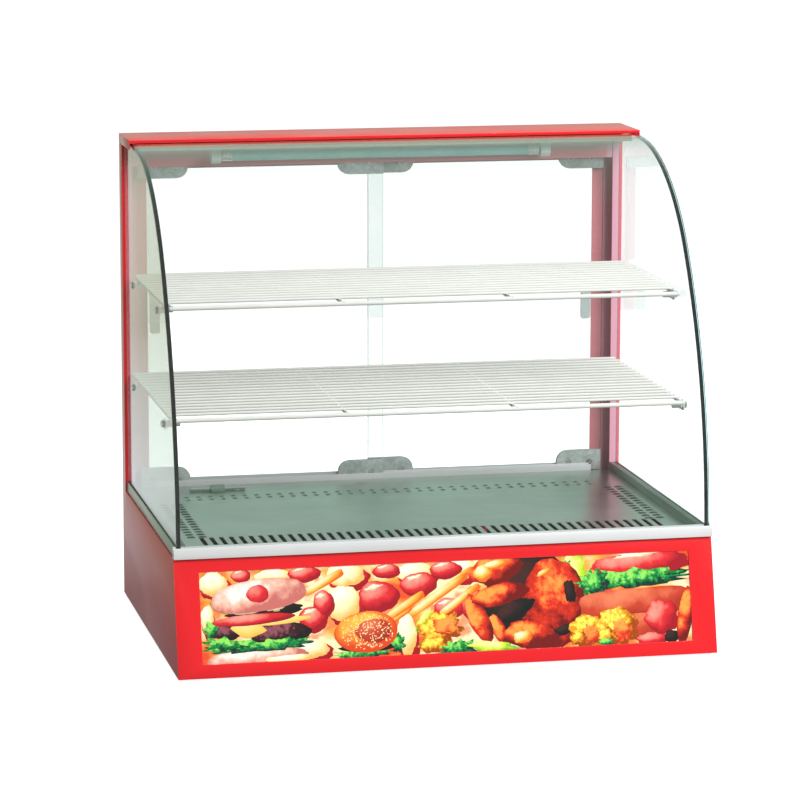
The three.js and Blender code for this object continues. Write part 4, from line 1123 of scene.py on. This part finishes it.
ROAST = (
    ("shadow", 6, 0, 134, 112, 5, 0, 0.05, 4, 3),
    ("roast", 26, -4, 84, 112, 7, -8, 0.04, 3, 8),
    ("roast", -44, 42, 66, 36, 8, 10, 0.06, 4, 4),
    ("fries", -60, 38, 22, 20, 9, 0, 0.06, 4, 4),
    ("fries", -44, 48, 34, 10, 9, 8, 0.06, 4, 7),
    ("shadow", -24, -8, 54, 24, 11, 22, 0.08, 4, 4),
    ("roast", -42, -32, 16, 46, 12, 26, 0.05, 3, 2),
    ("roast", -67, -16, 24, 62, 13, 24, 0.04, 3, 5),
    ("roast", -40, 12, 72, 26, 14, 10, 0.05, 4, 9),
    ("roast", -4, -38, 68, 34, 15, -6, 0.06, 4, 2),
    ("fries", -14, -40, 24, 15, 16, 10, 0.08, 4, 6),
    ("fries", 16, 36, 20, 7, 16, 24, 0.08, 4, 2),
    ("shadow", 47, 12, 14, 28, 16, 8, 0.1, 4, 6),
    ("shadow", 38, -34, 26, 12, 16, 10, 0.1, 4, 9),
)


def fried_piece(u, v, w, h, layer, seed):
    blob("crumb", u, v, w, h, layer, 0, 0.07, 7, seed)
    blob("roast", u + w * 0.1, v - h * 0.08, w * 0.4, h * 0.55, layer + 1, 20, 0.16, 6, seed + 1, 0.6)
    blob("crumb", u - w * 0.24, v - h * 0.2, w * 0.4, h * 0.4, layer + 2, 20, 0.12, 6, seed + 2)


SANDWICH = (
    ("pale_lettuce", -72, 14, 34, 88, 5, 2, 0.1, 6, 3, 0.2),
    ("lettuce", -86, 42, 18, 16, 6, 0, 0.2, 6, 5, 0.2),
    ("shadow", 20, 30, 90, 14, 6, 0, 0.05, 4, 3),
    ("tomato", 10, 41, 126, 30, 7, 3, 0.05, 4, 5),
    ("onion", 4, 52, 50, 6, 8, 3, 0.2, 4, 2, 0.4),
    ("lettuce", 0, 24, 136, 22, 10, 2, 0.18, 12, 7, 0.2),
    ("lettuce", -50, 22, 34, 30, 11, 20, 0.2, 9, 2, 0.2),
    ("ham", 0, -5, 138, 33, 12, 3, 0.015, 3, 4, 0.3, 5.0),
    ("ham", 8, -32, 84, 34, 12, 2, 0.03, 3, 4, 0.3),
    ("tomato", 33, -24, 42, 42, 14, 10, 0.08, 5, 6),
    ("tomato", 20, -50, 40, 16, 14, 0, 0.08, 5, 2),
    ("shadow", 44, -48, 18, 16, 15, 0, 0.08, 4, 2),
    ("roast", 62, -24, 18, 70, 16, -10, 0.03, 3, 9),
)


def picture():
    mid = PANEL["h"] * 500      # half the window's height, in millimetres
    pale_lumps(mid, [(16, 40, 34, 28), (89, 46, 45, 18), (176, 44, 46, 28), (172, 10, 40, 44),
                     (261, 43, 46, 26), (247, -30, 24, 52), (132, -42, 40, 22), (8, -2, 16, 34),
                     (318, 45, 34, 28)])
    small_tomatoes(mid, [(50, 48, 24, 16), (126, 47, 40, 20), (135, -7, 36, 32), (148, 10, 26, 34),
                         (215, 16, 50, 38), (226, 46, 34, 18), (265, 28, 46, 30), (300, -2, 38, 26),
                         (298, 44, 40, 22), (330, 2, 30, 40)])
    fries(mid, [(149, 36, 54, 10, 27), (288, 15, 84, 10, 32), (247, 4, 54, 10, 31),
                (302, 28, 70, 8, 30), (241, -6, 30, 8, 31), (314, 8, 60, 9, 34)])
    heap(70, mid, BURGER)
    heap(198, mid - 25, SESAME_BUN)
    seeds_on(198, mid - 24, 74, 46, 14, 230, 21)
    heap(0, mid, (
        ("crumb", 288, -26, 52, 40, 9, 10, 0.14, 6, 5),
        ("roast", 294, -22, 30, 20, 10, 0, 0.14, 4, 5, 0.6),
        ("crumb", 280, -45, 38, 18, 11, 0, 0.12, 6, 3),
        ("pale_lettuce", 268, -14, 10, 30, 8, -36, 0.1, 6, 5, 0.2),
        ("lettuce", 309, -49, 44, 18, 12, 4, 0.22, 9, 8, 0.2),
        ("pale_lettuce", 352, -50, 58, 13, 16, -6, 0.12, 6, 3, 0.2),
    ))
    heap(403, mid, ROAST)
    heap(530, mid, SANDWICH)
    fried_piece(469, mid - 37, 46, 40, 18, 4)
    fried_piece(506, mid - 34, 54, 48, 19, 6)
    blob("lettuce", 492, mid - 51, 18, 9, 23, 0, 0.2, 8, 5, 0.2)
    for name, bm in patches.items():
        finished("picture_" + name, bm, FOODS[name], "cabinet", outward=False, smooth_angle=80)


picture()

# -------- studio

FLOOR_SIZE = 60.0
BACKDROP_Y = 2.5
BLOWN_WHITE = (1.45, 1.45, 1.45)    # paper lit past white, seen through clear glass


def straight_view(tree):
    """1 where the camera looks, directly or through clear glass, and 0 for every other ray."""
    path = add_node(tree, "ShaderNodeLightPath")
    bounced = maths(tree, "ADD", path.outputs["Glossy Depth"], path.outputs["Diffuse Depth"], clamp=True)
    through = maths(tree, "SUBTRACT", path.outputs["Is Transmission Ray"], bounced, clamp=True)
    seen = maths(tree, "MAXIMUM", path.outputs["Is Camera Ray"], through)
    return seen, maths(tree, "MINIMUM", path.outputs["Diffuse Depth"], 1.0)


def room_tone(tree):
    """What the pieces reflect: pale behind the case, beige to its left, dimmer overhead and in front."""
    position = add_node(tree, "ShaderNodeNewGeometry").outputs["Position"]
    place = add_node(tree, "ShaderNodeSeparateXYZ", {0: position})
    behind = remapped(tree, place.outputs["Y"], 0.25, 0.9)
    left = remapped(tree, place.outputs["X"], -0.4, -0.7)
    high = remapped(tree, place.outputs["Z"], 0.3, 0.7)
    tone = mixed(tree, behind, (0.3, 0.3, 0.29), (0.88, 0.94, 0.96))
    tone = mixed(tree, left, tone, (0.52, 0.5, 0.38))
    return mixed(tree, high, tone, (0.36, 0.5, 0.42))


def stage_sheet(name, at, turn, white, base):
    bm = bmesh.new()
    bmesh.ops.create_grid(bm, x_segments=1, y_segments=1, size=FLOOR_SIZE / 2)
    bm.transform(Matrix.Translation(at) @ Matrix.Rotation(turn, 4, "X"))
    material, tree, surface = new_material(name, "picture", roughness=0.9, specular_ior_level=0.0)
    seen, diffuse = straight_view(tree)
    paper = mixed(tree, noise_value(tree, 1.5), base, tuple(c * 0.97 for c in base))
    tree.links.new(mixed(tree, seen, (0.08, 0.08, 0.08), paper), surface.inputs["Base Color"])
    room = mixed(tree, maths(tree, "MULTIPLY", diffuse, 0.55), room_tone(tree), (0.0, 0.0, 0.0))
    behind_glass = add_node(tree, "ShaderNodeLightPath").outputs["Is Transmission Ray"]
    paper_white = mixed(tree, behind_glass, white, BLOWN_WHITE)
    tree.links.new(mixed(tree, seen, room, paper_white), surface.inputs["Emission Color"])
    surface.inputs["Emission Strength"].default_value = 1.0
    material.cycles.emission_sampling = "NONE"
    made = linked_mesh(name, bm, material)
    return made


def area_light(name, at, to, size, power):
    data = bpy.data.lights.new(name, "AREA")
    data.shape = "RECTANGLE"
    data.size, data.size_y = size
    data.energy = power
    made = linked(name, data)
    made.location = at
    made.rotation_euler = (Vector(to) - Vector(at)).to_track_quat("-Z", "Y").to_euler()
    made.visible_glossy = False
    made.visible_transmission = False


def world():
    made = bpy.data.worlds.new("studio")
    made.use_nodes = True
    made.cycles.sampling_method = "NONE"
    tree = made.node_tree
    seen, diffuse = straight_view(tree)
    dim = mixed(tree, diffuse, (0.42, 0.45, 0.41), (0.22, 0.22, 0.22))
    tree.links.new(mixed(tree, seen, dim, BLOWN_WHITE), tree.nodes["Background"].inputs["Color"])
    scene.world = made


stage_sheet("studio_floor", (0, 0, 0), 0.0, (0.92, 0.92, 0.92), (0.6, 0.6, 0.6))
backdrop_sheet = stage_sheet("studio_backdrop", (0, BACKDROP_Y, 0), math.pi / 2, BLOWN_WHITE, (0, 0, 0))
backdrop_sheet.visible_camera = False
backdrop_sheet.visible_shadow = False
backdrop_sheet.visible_diffuse = False
world()
area_light("key", (1.6, -3.2, 2.2), (0, 0, 0.25), (2.2, 2.2), 200)
area_light("top", (0.2, 0.2, 3.0), (0, 0, 0.2), (3.0, 2.2), 40)
scene.view_settings.view_transform = "Standard"

# -------- sizes


def plain(box):
    return [list(corner) for corner in box]
